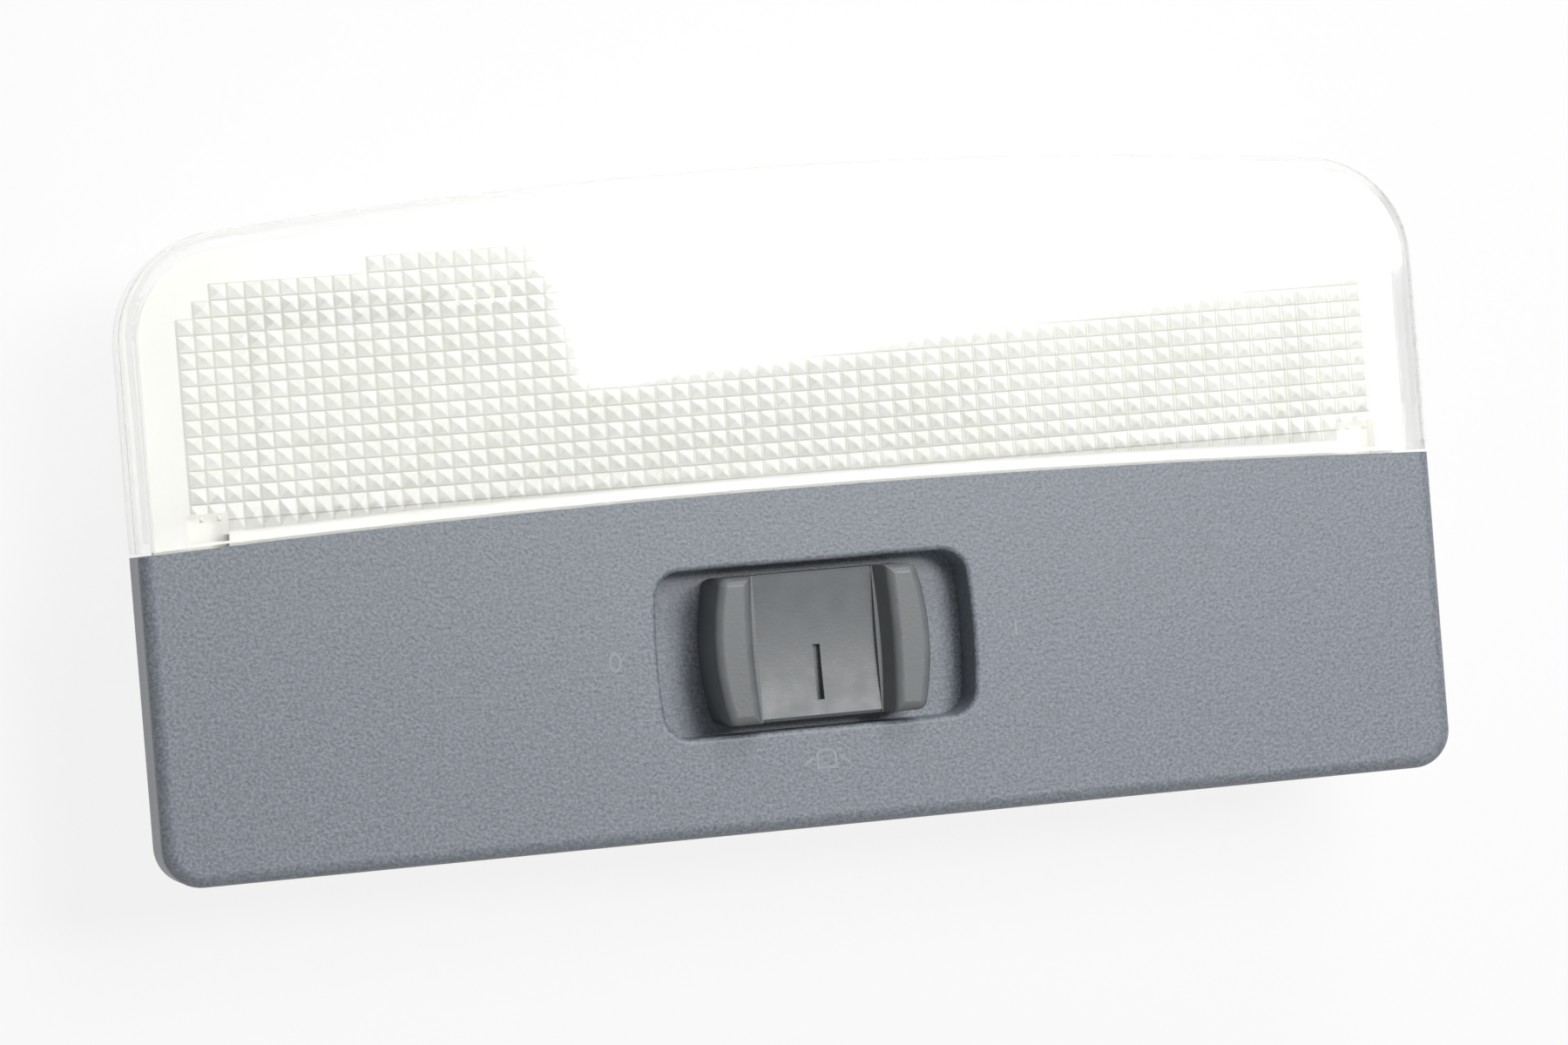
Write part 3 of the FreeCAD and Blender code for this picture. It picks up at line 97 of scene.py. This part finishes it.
def per_metre(size_mm: float) -> float:
    """Texture scale whose features are about size_mm across, for coordinates in metres."""
    return 1.0 / (size_mm * MM)


def add_node(tree: bpy.types.NodeTree, kind: str, settings: Dict[Key, Any],
             links: Dict[Key, Any]) -> bpy.types.Node:
    """Adds one shader node.

    Args:
        tree: The node tree that gets the node.
        kind: Blender's node type name.
        settings: Node properties, or input sockets by name or number, and their values.
        links: Input sockets by name or number, and the output sockets that feed them.

    Returns:
        The new node.
    """
    node = tree.nodes.new(kind)
    for key, value in settings.items():
        if isinstance(key, int) or key in node.inputs:
            node.inputs[key].default_value = value
        else:
            setattr(node, key, value)
    for key, output in links.items():
        tree.links.new(output, node.inputs[key])
    return node


@dataclass(frozen=True)
class Finish:
    """A surface made of one real material.

    The fields that every finish shares are set straight on the shader's own sockets.
    """

    name: str
    colour: str
    roughness: float
    metallic: float = 0.0
    ior: float = 1.5
    transmission: float = 0.0
    alpha: float = 1.0
    coat: float = 0.0
    grain_mm: float = 0.4
    grain_height_mm: float = 0.0
    shade_mm: float = 1.0
    shade: str = ""
    middle: str = ""
    rough_change: float = 0.0
    stretch: Point = (1.0, 1.0, 1.0)

    def build(self) -> bpy.types.Material:
        """Makes the material's nodes.

        Returns:
            The material, ready for a node's slots.
        """
        made = bpy.data.materials.new(self.name)
        made.use_nodes = True
        tree = made.node_tree
        tree.nodes.clear()
        shader = add_node(tree, "ShaderNodeBsdfPrincipled", {
            "Base Color": linear(self.colour), "Roughness": self.roughness, "Metallic": self.metallic,
            "IOR": self.ior, "Transmission Weight": self.transmission, "Alpha": self.alpha,
            "Coat Weight": self.coat}, {})
        place = add_node(tree, "ShaderNodeTexCoord", {}, {})
        spread = add_node(tree, "ShaderNodeMapping", {"Scale": self.stretch},
                          {"Vector": place.outputs["Object"]})
        self.shade_surface(tree, shader, spread.outputs["Vector"])
        self.raise_grain(tree, shader, spread.outputs["Vector"])
        add_node(tree, "ShaderNodeOutputMaterial", {}, {"Surface": shader.outputs["BSDF"]})
        return made

    def shade_surface(self, tree: bpy.types.NodeTree, shader: bpy.types.Node,
                      place: bpy.types.NodeSocket) -> None:
        """Varies the colour and the roughness a little across the surface.

        Args:
            tree: The material's node tree.
            shader: The surface shader.
            place: Where on the object, in metres.
        """
        cloud = add_node(tree, "ShaderNodeTexNoise", {
            "Scale": per_metre(self.shade_mm), "Detail": SHADE_DETAIL}, {"Vector": place})
        if self.shade:
            ramp = add_node(tree, "ShaderNodeValToRGB", {}, {"Fac": cloud.outputs["Fac"]})
            ramp.color_ramp.elements[0].position = NOISE_LOW
            ramp.color_ramp.elements[0].color = linear(self.colour)
            ramp.color_ramp.elements[1].position = NOISE_HIGH
            ramp.color_ramp.elements[1].color = linear(self.shade)
            if self.middle:
                halfway = (NOISE_LOW + NOISE_HIGH) / 2
                ramp.color_ramp.elements.new(halfway).color = linear(self.middle)
            tree.links.new(ramp.outputs["Color"], shader.inputs["Base Color"])
        if self.rough_change:
            spread = add_node(tree, "ShaderNodeMapRange", {
                "From Min": NOISE_LOW, "From Max": NOISE_HIGH, "To Min": self.roughness - self.rough_change,
                "To Max": self.roughness + self.rough_change}, {"Value": cloud.outputs["Fac"]})
            tree.links.new(spread.outputs["Result"], shader.inputs["Roughness"])

    def raise_grain(self, tree: bpy.types.NodeTree, shader: bpy.types.Node,
                    place: bpy.types.NodeSocket) -> None:
        """Raises the fine grain of the surface as a bump.

        Args:
            tree: The material's node tree.
            shader: The surface shader.
            place: Where on the object, in metres.
        """
        if not self.grain_height_mm:
            return
        grain = add_node(tree, "ShaderNodeTexNoise", {
            "Scale": per_metre(self.grain_mm), "Detail": GRAIN_DETAIL}, {"Vector": place})
        bump = add_node(tree, "ShaderNodeBump", {"Strength": 1.0, "Distance": self.grain_height_mm * MM},
                        {"Height": grain.outputs["Fac"]})
        tree.links.new(bump.outputs["Normal"], shader.inputs["Normal"])


@dataclass(frozen=True)
class PrismFinish(Finish):
    """Clear moulding whose inner face is broken up by rows of prisms.

    The front face stays clear. The prisms scatter part of the light, and the roots between them are painted
    as thin lines of darker shade. Places and lengths are in millimetres, in the object's frame.
    """

    pitch: Tuple[float, float] = (1.7, 1.6)
    corner: Tuple[float, float] = (-59.5, 2.2)
    root_mm: float = 0.2
    root_blur: float = 0.5
    # Painted shade: the roots between the prisms are drawn in this darker grey-green.
    root_shade_colour: str = "D3D6CC"
    cell_colour: str = "F6F7F1"
    ramp_low_mm: float = 4.0
    back_low_mm: float = 4.55
    prism_low_mm: float = 4.66
    prism_high_mm: float = 5.45
    ramp_high_mm: float = 7.0
    back_transmission: float = 0.15
    back_alpha: float = 0.95
    shadow_alpha: float = 0.3
    foot_place: float = 30.0
    foot_reach: float = 4.0
    foot_top: float = 28.5
    foot_low: float = 3.0
    # Strength of the glow painted on the legs' feet, which lightens their dark slits of shade.
    foot_painted_glow: float = 0.4

    def shade_surface(self, tree: bpy.types.NodeTree, shader: bpy.types.Node,
                      place: bpy.types.NodeSocket) -> None:
        """Paints shade into the prisms' roots and glow on the legs' feet, and lets only the inner face
        scatter.

        Args:
            tree: The material's node tree.
            shader: The surface shader.
            place: Where on the object, in metres.
        """
        split = add_node(tree, "ShaderNodeSeparateXYZ", {}, {"Vector": place})
        height = split.outputs["Z"]
        grid_place = add_node(tree, "ShaderNodeMapping", {
            "Scale": (1 / MM, 1 / MM, 1 / MM), "Location": (-self.corner[0], -self.corner[1], 0.0)},
            {"Vector": place})
        # The mortar of this pattern is painted shade in the roots between the prisms.
        grid = add_node(tree, "ShaderNodeTexBrick", {
            "offset": 0.0, "squash": 1.0, "Scale": 1.0, "Mortar Size": self.root_mm / 2,
            "Mortar Smooth": self.root_blur, "Brick Width": self.pitch[0], "Row Height": self.pitch[1],
            "Color1": linear(self.colour), "Color2": linear(self.cell_colour),
            "Mortar": linear(self.root_shade_colour)}, {"Vector": grid_place.outputs["Vector"]})
        on_prisms = add_node(tree, "ShaderNodeMath", {
            "operation": "COMPARE", 1: (self.prism_low_mm + self.prism_high_mm) / 2 * MM,
            2: (self.prism_high_mm - self.prism_low_mm) / 2 * MM}, {0: height})
        prism_cells_and_root_shade = add_node(tree, "ShaderNodeMixRGB", {"Color1": linear(self.colour)},
                        {"Fac": on_prisms.outputs[0], "Color2": grid.outputs["Color"]})
        tree.links.new(prism_cells_and_root_shade.outputs["Color"], shader.inputs["Base Color"])
        feet = self.on_feet(tree, split)
        clear = self.by_height(tree, height, self.transmission, self.back_transmission)
        cover = self.by_height(tree, height, self.alpha, self.back_alpha)
        dull = add_node(tree, "ShaderNodeMapRange", {"To Max": 0.0}, {"Value": feet, "To Min": clear})
        tree.links.new(dull.outputs["Result"], shader.inputs["Transmission Weight"])
        solid = add_node(tree, "ShaderNodeMapRange", {"To Max": 1.0}, {"Value": feet, "To Min": cover})
        rays = add_node(tree, "ShaderNodeLightPath", {}, {})
        # Clear plastic casts hardly any shadow on what lies behind it.
        light = add_node(tree, "ShaderNodeMapRange", {"To Max": self.shadow_alpha},
                         {"Value": rays.outputs["Is Shadow Ray"], "To Min": solid.outputs["Result"]})
        tree.links.new(light.outputs["Result"], shader.inputs["Alpha"])
        # Painted glow: the legs' thin feet emit a little of the lens's own colour, so their slits don't read
        # as dark shade.
        glow = add_node(tree, "ShaderNodeMath", {"operation": "MULTIPLY", 1: self.foot_painted_glow}, {0: feet})
        shader.inputs["Emission Color"].default_value = linear(self.colour)
        tree.links.new(glow.outputs[0], shader.inputs["Emission Strength"])

    def by_height(self, tree: bpy.types.NodeTree, height: bpy.types.NodeSocket, plain: float,
                  back: float) -> bpy.types.NodeSocket:
        """Gives one level on the plate's back and its prisms, and another below and above them.

        Args:
            tree: The material's node tree.
            height: Height in the object, in metres.
            plain: The level below and above.
            back: The level on the back and the prisms.

        Returns:
            A socket with the level.
        """
        step = add_node(tree, "ShaderNodeMapRange", {
            "From Min": self.ramp_low_mm * MM, "From Max": self.ramp_high_mm * MM}, {"Value": height})
        ramp = add_node(tree, "ShaderNodeValToRGB", {}, {"Fac": step.outputs["Result"]})
        ramp.color_ramp.interpolation = "CONSTANT"
        ramp.color_ramp.elements.remove(ramp.color_ramp.elements[1])
        ramp.color_ramp.elements[0].color = (plain, plain, plain, 1.0)
        for edge, level in ((self.back_low_mm, back), (self.prism_high_mm, plain)):
            share = (edge - self.ramp_low_mm) / (self.ramp_high_mm - self.ramp_low_mm)
            ramp.color_ramp.elements.new(share).color = (level, level, level, 1.0)
        return ramp.outputs["Color"]

    def on_feet(self, tree: bpy.types.NodeTree, split: bpy.types.Node) -> bpy.types.NodeSocket:
        """Finds the thin feet of the two snap legs, right behind the plate.

        Args:
            tree: The material's node tree.
            split: The node with the place along each axis, in metres.

        Returns:
            A socket that is 1 on the feet.
        """
        away = add_node(tree, "ShaderNodeMath", {"operation": "ABSOLUTE"}, {0: split.outputs["X"]})
        beside = add_node(tree, "ShaderNodeMath", {
            "operation": "COMPARE", 1: self.foot_place * MM, 2: self.foot_reach * MM}, {0: away.outputs[0]})
        inside = add_node(tree, "ShaderNodeMath", {"operation": "LESS_THAN", 1: self.foot_top * MM},
                          {0: split.outputs["Y"]})
        behind = add_node(tree, "ShaderNodeMath", {
            "operation": "COMPARE", 1: (self.foot_low + self.back_low_mm) / 2 * MM,
            2: (self.back_low_mm - self.foot_low) / 2 * MM}, {0: split.outputs["Z"]})
        both = add_node(tree, "ShaderNodeMath", {"operation": "MULTIPLY"},
                        {0: beside.outputs[0], 1: inside.outputs[0]})
        feet = add_node(tree, "ShaderNodeMath", {"operation": "MULTIPLY"},
                        {0: both.outputs[0], 1: behind.outputs[0]})
        return feet.outputs[0]


# ABS from a spark eroded mould: a dull, finely pitted grey that breaks the light into speckle. The grain of
# the mould is nearer 0.1 mm, and is drawn at 0.35 mm so that it shows.
PANEL_ABS = Finish("grained_abs", "666B75", 0.44, grain_mm=0.35, grain_height_mm=0.035, shade_mm=0.32,
                   middle="7C838B", shade="9697A2", rough_change=0.06)

# ABS from a finely blasted mould, worn smooth by fingers: a softer sheen than the panel's. Its grain too is
# drawn coarser than it is.
KNOB_ABS = Finish("blasted_abs", "626567", 0.42, grain_mm=0.3, grain_height_mm=0.012, shade_mm=2.0,
                  shade="6A6E70", rough_change=0.05)

# Polycarbonate from a polished mould: clear, with bright reflections off a hard gloss, and a trace of green
# with painted shade in the roots between the prisms.
LENS_PC = PrismFinish("clear_polycarbonate", "FDFDFA", 0.05, ior=1.585, transmission=1.0, alpha=0.45)

# PBT from a plain mould: an even warm white with a satin face and faint flow marks.
TRAY_PBT = Finish("moulded_pbt", "EEEDE8", 0.45, grain_mm=0.6, grain_height_mm=0.008, shade_mm=9.0,
                  shade="F5F4F0", rough_change=0.06)

# Aluminium sheet pressed and lacquered white, so that it throws the lamp's light forward evenly.
REFLECTOR_SHEET = Finish("white_lacquered_aluminium", "F2F2EF", 0.35, coat=0.2, grain_mm=1.2,
                         grain_height_mm=0.01, shade_mm=6.0, shade="F7F7F5", rough_change=0.05)

# Soda glass drawn as a tube: clear, with faint long waves along its axis.
LAMP_GLASS = Finish("drawn_soda_glass", "F8FAFA", 0.02, ior=1.52, transmission=1.0, alpha=0.6, grain_mm=3.0,
                    grain_height_mm=0.01, stretch=(0.2, 1.0, 1.0))

# Tungsten wire wound to a fine coil: dark grey metal with a sooty bloom.
TUNGSTEN = Finish("coiled_tungsten", "6E6C6A", 0.4, metallic=1.0, shade_mm=0.6, shade="837F7A",
                  rough_change=0.1)

# Nickel wire, drawn: bright grey with fine lines along the wire.
NICKEL_WIRE = Finish("drawn_nickel", "B4AFA6", 0.3, metallic=1.0, shade_mm=0.3, shade="C1BCB2",
                     rough_change=0.08, stretch=(0.1, 1.0, 1.0))

# Brass cup plated with nickel and rolled onto the glass: a soft mirror with turned lines round it.
CAP_PLATE = Finish("nickel_plated_brass", "C9C4B8", 0.22, metallic=1.0, grain_mm=0.25, grain_height_mm=0.004,
                   shade_mm=1.5, shade="D3CFC5", rough_change=0.06, stretch=(1.0, 0.15, 0.15))

# Brass strip, rolled and stamped: yellow metal with rolling lines along its length and a dull bloom.
STRIP_BRASS = Finish("stamped_brass", "C8A45A", 0.3, metallic=1.0, grain_mm=0.2, grain_height_mm=0.004,
                     shade_mm=2.5, shade="B8924A", rough_change=0.08, stretch=(0.2, 1.0, 1.0))

# Phosphor bronze strip, rolled hard: redder and duller than the brass.
WIPER_BRONZE = Finish("rolled_bronze", "B98655", 0.32, metallic=1.0, grain_mm=0.2, grain_height_mm=0.003,
                      shade_mm=1.5, shade="A87647", rough_change=0.08, stretch=(1.0, 0.2, 1.0))

# Spring steel, blued by its temper and then zinc plated: grey with a faint cold cast and brush lines.
CLIP_STEEL = Finish("zinc_plated_spring_steel", "9DA1A6", 0.34, metallic=1.0, grain_mm=0.2,
                    grain_height_mm=0.004, shade_mm=3.0, shade="8C9096", rough_change=0.1,
                    stretch=(1.0, 1.0, 0.2))

# Acetal, moulded without pigment: a waxy off-white.
CARRIER_ACETAL = Finish("natural_acetal", "E4E1D6", 0.38, grain_mm=0.5, grain_height_mm=0.006, shade_mm=4.0,
                        shade="EBE9E0", rough_change=0.05)

# Ink from a pad print: a thin matt film, a little paler than the plastic under it.
MARK_INK = Finish("pad_print_ink", "A0A4AA", 0.6, shade_mm=0.4, shade="94989F", rough_change=0.05)

NODE_FINISHES: Dict[str, Finish] = {
    "lens": LENS_PC,
    "switch_panel": PANEL_ABS,
    "housing": TRAY_PBT,
    "reflector": REFLECTOR_SHEET,
    "bulb_glass": LAMP_GLASS,
    "bulb_filament": TUNGSTEN,
    "bulb_lead_left": NICKEL_WIRE,
    "bulb_lead_right": NICKEL_WIRE,
    "bulb_cap_left": CAP_PLATE,
    "bulb_cap_right": CAP_PLATE,
    "supply_strip": STRIP_BRASS,
    "lamp_strip": STRIP_BRASS,
    "door_strip": STRIP_BRASS,
    "ground_strip": STRIP_BRASS,
    "retaining_clip": CLIP_STEEL,
    "slider_knob": KNOB_ABS,
    "slider_carrier": CARRIER_ACETAL,
    "wiper_contact": WIPER_BRONZE,
    "detent_spring": CLIP_STEEL,
}


@dataclass
class Dresser:
    """Makes each finish once and puts it on the nodes and pieces."""

    made: Dict[str, bpy.types.Material] = field(default_factory=dict)

    def material(self, finish: Finish) -> bpy.types.Material:
        """Gives a finish's material, made at its first use.

        Args:
            finish: The finish wanted.

        Returns:
            Its material.
        """
        if finish.name not in self.made:
            self.made[finish.name] = finish.build()
        return self.made[finish.name]

    def dress(self, thing: bpy.types.Object, finish: Finish) -> None:
        """Puts a finish on an object in place of what it has.

        Args:
            thing: The object to dress.
            finish: Its finish.
        """
        thing.data.materials.clear()
        thing.data.materials.append(self.material(finish))
        log.info("dressed %s in %s", thing.name, finish.name)

    def dress_nodes(self, nodes: Dict[str, bpy.types.Object]) -> None:
        """Dresses every CAD node.

        Args:
            nodes: The CAD nodes by name.
        """
        for name, thing in nodes.items():
            self.dress(thing, NODE_FINISHES[name])


def mesh_object(name: str, points: Sequence[Point], faces: Sequence[Sequence[int]]) -> bpy.types.Object:
    """Makes a mesh object in the scene.

    Args:
        name: The piece's name.
        points: Vertex places in metres.
        faces: Vertex numbers of each face.

    Returns:
        The linked object.
    """
    mesh = bpy.data.meshes.new(name)
    mesh.from_pydata([Vector(p) for p in points], [], [list(f) for f in faces])
    mesh.validate()
    thing = bpy.data.objects.new(name, mesh)
    bpy.context.scene.collection.objects.link(thing)
    return thing


@dataclass
class FrontMarks:
    """Faint generic signs printed on the panel round the switch: off, door and on.

    Places and lengths are in millimetres.
    """

    film: float = 0.03
    lift: float = 0.002
    line: float = 0.3
    size: float = 1.7
    side_place: float = 20.2
    row: float = -14.5
    door_row: float = -25.6
    face: float = 7.0
    ring_steps: int = 20
    ring_share: float = 0.6
    car_half: float = 0.9
    bonnet_half: float = 0.5
    wing_share: float = 0.6
    hinge_place: float = 1.25
    hinge_up: float = 0.2
    door_reach: float = 2.3
    door_down: float = 0.5

    def ribbon(self, corners: Sequence[Tuple[float, float]],
               path: Path) -> Tuple[List[Point], List[List[int]]]:
        """Draws one printed line with mitred corners.

        Args:
            corners: The line's corners on the panel, in millimetres.
            path: Whether the line closes on its start.

        Returns:
            Points and faces of the mesh.
        """
        count = len(corners)
        points: List[Point] = []
        for i, corner in enumerate(corners):
            here = Vector(corner)
            before = Vector(corners[i - 1]) if i or path is Path.CLOSED else None
            after = Vector(corners[(i + 1) % count]) if i + 1 < count or path is Path.CLOSED else None
            runs = [(here - before).normalized()] if before else []
            runs += [(after - here).normalized()] if after else []
            along = sum(runs, Vector((0.0, 0.0))).normalized()
            side = Vector((-along.y, along.x)) * self.line / 2 / along.dot(runs[0])
            for z in (self.face + self.lift, self.face + self.film):
                for edge in (here + side, here - side):
                    points.append((edge.x * MM, edge.y * MM, z * MM))
        faces: List[List[int]] = []
        for i in range(count if path is Path.CLOSED else count - 1):
            a, b = 4 * i, 4 * ((i + 1) % count)
            faces += [[a + 2, a + 3, b + 3, b + 2], [a + 1, a, b, b + 1],
                      [a + 3, a + 1, b + 1, b + 3], [a, a + 2, b + 2, b]]
        if path is Path.OPEN:
            end = 4 * (count - 1)
            faces += [[0, 1, 3, 2], [end + 2, end + 3, end + 1, end]]
        return points, faces

    def build(self, dresser: Dresser) -> None:
        """Makes the three signs and dresses them.

        Args:
            dresser: Puts the ink on.
        """
        half = self.size / 2
        turns = [t * math.tau / self.ring_steps for t in range(self.ring_steps)]
        ring = [(-self.side_place + self.ring_share * half * math.cos(turn), self.row + half * math.sin(turn))
                for turn in turns]
        bar = [(self.side_place, self.row - half), (self.side_place, self.row + half)]
        row = self.door_row
        wing = row + half * self.wing_share
        car = [(-self.car_half, row - half), (self.car_half, row - half), (self.car_half, wing),
               (self.bonnet_half, row + half), (-self.bonnet_half, row + half), (-self.car_half, wing)]
        door_left = [(-self.hinge_place, row + self.hinge_up), (-self.door_reach, row - self.door_down)]
        door_right = [(self.hinge_place, row + self.hinge_up), (self.door_reach, row - self.door_down)]
        signs = {"mark_off": self.ribbon(ring, Path.CLOSED), "mark_on": self.ribbon(bar, Path.OPEN),
                 "mark_car": self.ribbon(car, Path.CLOSED),
                 "mark_door_left": self.ribbon(door_left, Path.OPEN),
                 "mark_door_right": self.ribbon(door_right, Path.OPEN)}
        for name, (points, faces) in signs.items():
            piece = mesh_object(name, points, faces)
            dresser.dress(piece, MARK_INK)
            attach(piece, LAMP_BODY)


@dataclass
class LampCoil:
    """The wound filament that stands for the CAD rod; wire is its radius in millimetres."""

    turns: int = 26
    wire: float = 0.09
    steps: int = 14
    sides: int = 6

    def build(self, dresser: Dresser) -> None:
        """Winds the coil where the CAD rod is and dresses it.

        Args:
            dresser: Puts the finish on.
        """
        low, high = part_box("bulb_filament")
        centre = (low + high) / 2
        reach = (high.z - low.z) / 2 - self.wire * MM
        count = self.turns * self.steps
        points: List[Point] = []
        faces: List[List[int]] = []
        for i in range(count + 1):
            turn = i / self.steps * math.tau
            x = low.x + (high.x - low.x) * i / count
            out = Vector((0, math.cos(turn), math.sin(turn)))
            spot = Vector((x, centre.y, centre.z)) + out * reach
            for j in range(self.sides):
                angle = j / self.sides * math.tau
                ring = spot + (out * math.cos(angle) + Vector((1, 0, 0)) * math.sin(angle)) * self.wire * MM
                points.append(tuple(ring))
        for i in range(count):
            a, b = i * self.sides, (i + 1) * self.sides
            for j in range(self.sides):
                k = (j + 1) % self.sides
                faces.append([a + j, a + k, b + k, b + j])
        faces.append(list(range(self.sides))[::-1])
        faces.append([count * self.sides + j for j in range(self.sides)])
        coil = mesh_object("filament_coil", points, faces)
        for face in coil.data.polygons:
            face.use_smooth = True
        dresser.dress(coil, TUNGSTEN)
        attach(coil, LAMP_BODY)
        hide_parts("bulb_filament")


@dataclass(frozen=True)
class Softbox:
    """One soft light, with its places and sizes in metres.

    Radiance is how bright its face is, where 1 is the white of the background. Spin is its turn
    about its own axis, in degrees.
    """

    name: str
    place: Point
    size: Tuple[float, float]
    radiance: float
    aim: Point = (0.0, 0.0, 0.0)
    spin: float = 0.0

    def hang(self) -> None:
        """Hangs the light at its place and turns it to its aim."""
        data = bpy.data.lights.new(self.name, "AREA")
        data.shape = "RECTANGLE"
        data.size, data.size_y = self.size
        data.energy = self.radiance * math.pi * self.size[0] * self.size[1]
        lamp = bpy.data.objects.new(self.name, data)
        bpy.context.scene.collection.objects.link(lamp)
        lamp.location = self.place
        lamp.rotation_mode = "QUATERNION"
        facing = (Vector(self.aim) - Vector(self.place)).to_track_quat("-Z", "Y")
        lamp.rotation_quaternion = facing @ Quaternion((0, 0, 1), math.radians(self.spin))
        log.info("hung %s", self.name)


# The lens's front reflects the top one to the camera, as the white patch of the photograph.
SOFTBOXES = (
    Softbox("key_softbox", (0.085, 0.17, 0.47), (0.16, 0.16), 9.8),
    Softbox("rear_softbox", (0.10, 0.30, 0.22), (0.12, 0.12), 9.5),
    Softbox("top_softbox", (0.247, 0.112, 0.70), (0.240, 0.10), 27.0, aim=(0.247, 0.112, 0.0), spin=7.0),
    Softbox("front_softbox", (-0.10, -0.55, 0.30), (0.40, 0.20), 1.0),
)


@dataclass
class Studio:
    """White floor, soft lights and the camera at the photograph's angle.

    The camera's distance and target are in millimetres and its angles in degrees. The floor's size
    and the clip distances are in metres.
    """

    distance: float = 500.0
    azimuth: float = -14.63
    elevation: float = 0.58
    roll: float = -4.62
    target: Point = (-1.83, -2.44, 5.0)
    focal_pixels: float = 5897.0
    image_width: float = 1800.0
    sensor: float = 36.0
    clip: Tuple[float, float] = (0.01, 20.0)
    floor_size: float = 4.0
    floor_colour: str = "F4F4F4"
    floor_glow: float = 0.85
    ambient: float = 0.15

    def background_rays(self, tree: bpy.types.NodeTree) -> bpy.types.NodeSocket:
        """Tells the rays that should see a plain white background.

        Args:
            tree: A material's or the world's node tree.

        Returns:
            A socket that is 1 for camera, glossy and transmission rays.
        """
        path = add_node(tree, "ShaderNodeLightPath", {}, {})
        seen = add_node(tree, "ShaderNodeMath", {"operation": "MAXIMUM"},
                        {0: path.outputs["Is Camera Ray"], 1: path.outputs["Is Glossy Ray"]})
        both = add_node(tree, "ShaderNodeMath", {"operation": "MAXIMUM"},
                        {0: seen.outputs[0], 1: path.outputs["Is Transmission Ray"]})
        return both.outputs[0]

    def floor(self) -> None:
        """Lays the white floor under the object; it keeps a soft shadow."""
        z = CAD_BOX[0].z
        half = self.floor_size / 2
        corners = [(-half, -half, z), (half, -half, z), (half, half, z), (-half, half, z)]
        plane = mesh_object("floor", corners, [(0, 1, 2, 3)])
        paper = bpy.data.materials.new("white_paper")
        paper.use_nodes = True
        tree = paper.node_tree
        tree.nodes.clear()
        matt = add_node(tree, "ShaderNodeBsdfDiffuse", {"Color": linear(self.floor_colour)}, {})
        glow = add_node(tree, "ShaderNodeEmission", {"Color": (1, 1, 1, 1), "Strength": 1.0}, {})
        share = add_node(tree, "ShaderNodeMath", {"operation": "MULTIPLY", 1: self.floor_glow},
                         {0: self.background_rays(tree)})
        both = add_node(tree, "ShaderNodeMixShader", {}, {
            "Fac": share.outputs[0], 1: matt.outputs["BSDF"], 2: glow.outputs["Emission"]})
        add_node(tree, "ShaderNodeOutputMaterial", {}, {"Surface": both.outputs["Shader"]})
        plane.data.materials.append(paper)

    def world(self) -> None:
        """Lights the room softly, with a white background."""
        room = bpy.data.worlds.new("white_room")
        bpy.context.scene.world = room
        room.use_nodes = True
        tree = room.node_tree
        tree.nodes.clear()
        level = add_node(tree, "ShaderNodeMapRange", {"To Min": self.ambient, "To Max": 1.0},
                         {"Value": self.background_rays(tree)})
        light = add_node(tree, "ShaderNodeBackground", {"Color": (1, 1, 1, 1)},
                         {"Strength": level.outputs["Result"]})
        add_node(tree, "ShaderNodeOutputWorld", {}, {"Surface": light.outputs["Background"]})

    def camera(self) -> None:
        """Sets the camera where the photograph was taken from."""
        az, el, roll = (math.radians(a) for a in (self.azimuth, self.elevation, self.roll))
        back = Vector((math.sin(az) * math.cos(el), math.sin(el), math.cos(az) * math.cos(el)))
        flat_right = (-back).cross(Vector((0, 1, 0))).normalized()
        flat_up = flat_right.cross(-back)
        right = flat_right * math.cos(roll) + flat_up * math.sin(roll)
        up = flat_up * math.cos(roll) - flat_right * math.sin(roll)
        data = bpy.data.cameras.new("photo_camera")
        data.sensor_width = self.sensor
        data.lens = self.focal_pixels * self.sensor / self.image_width
        data.clip_start, data.clip_end = self.clip
        eye = bpy.data.objects.new("photo_camera", data)
        bpy.context.scene.collection.objects.link(eye)
        turn = Matrix((right, up, back)).transposed().to_4x4()
        spot = (Vector(self.target) + back * self.distance) * MM
        eye.matrix_world = Matrix.Translation(spot) @ turn
        bpy.context.scene.camera = eye

    def build(self) -> None:
        """Sets up the floor, the lights and the camera."""
        self.floor()
        self.world()
        for softbox in SOFTBOXES:
            softbox.hang()
        self.camera()


def main() -> None:
    """Dresses the nodes, adds the drawn pieces and sets the studio up."""
    logging.basicConfig(level=logging.INFO, format="%(name)s: %(message)s")
    bpy.context.scene.view_settings.view_transform = "Standard"
    dresser = Dresser()
    dresser.dress_nodes(frame["nodes"])
    FrontMarks().build(dresser)
    LampCoil().build(dresser)
    Studio().build()


if __name__ == "__main__":
    main()
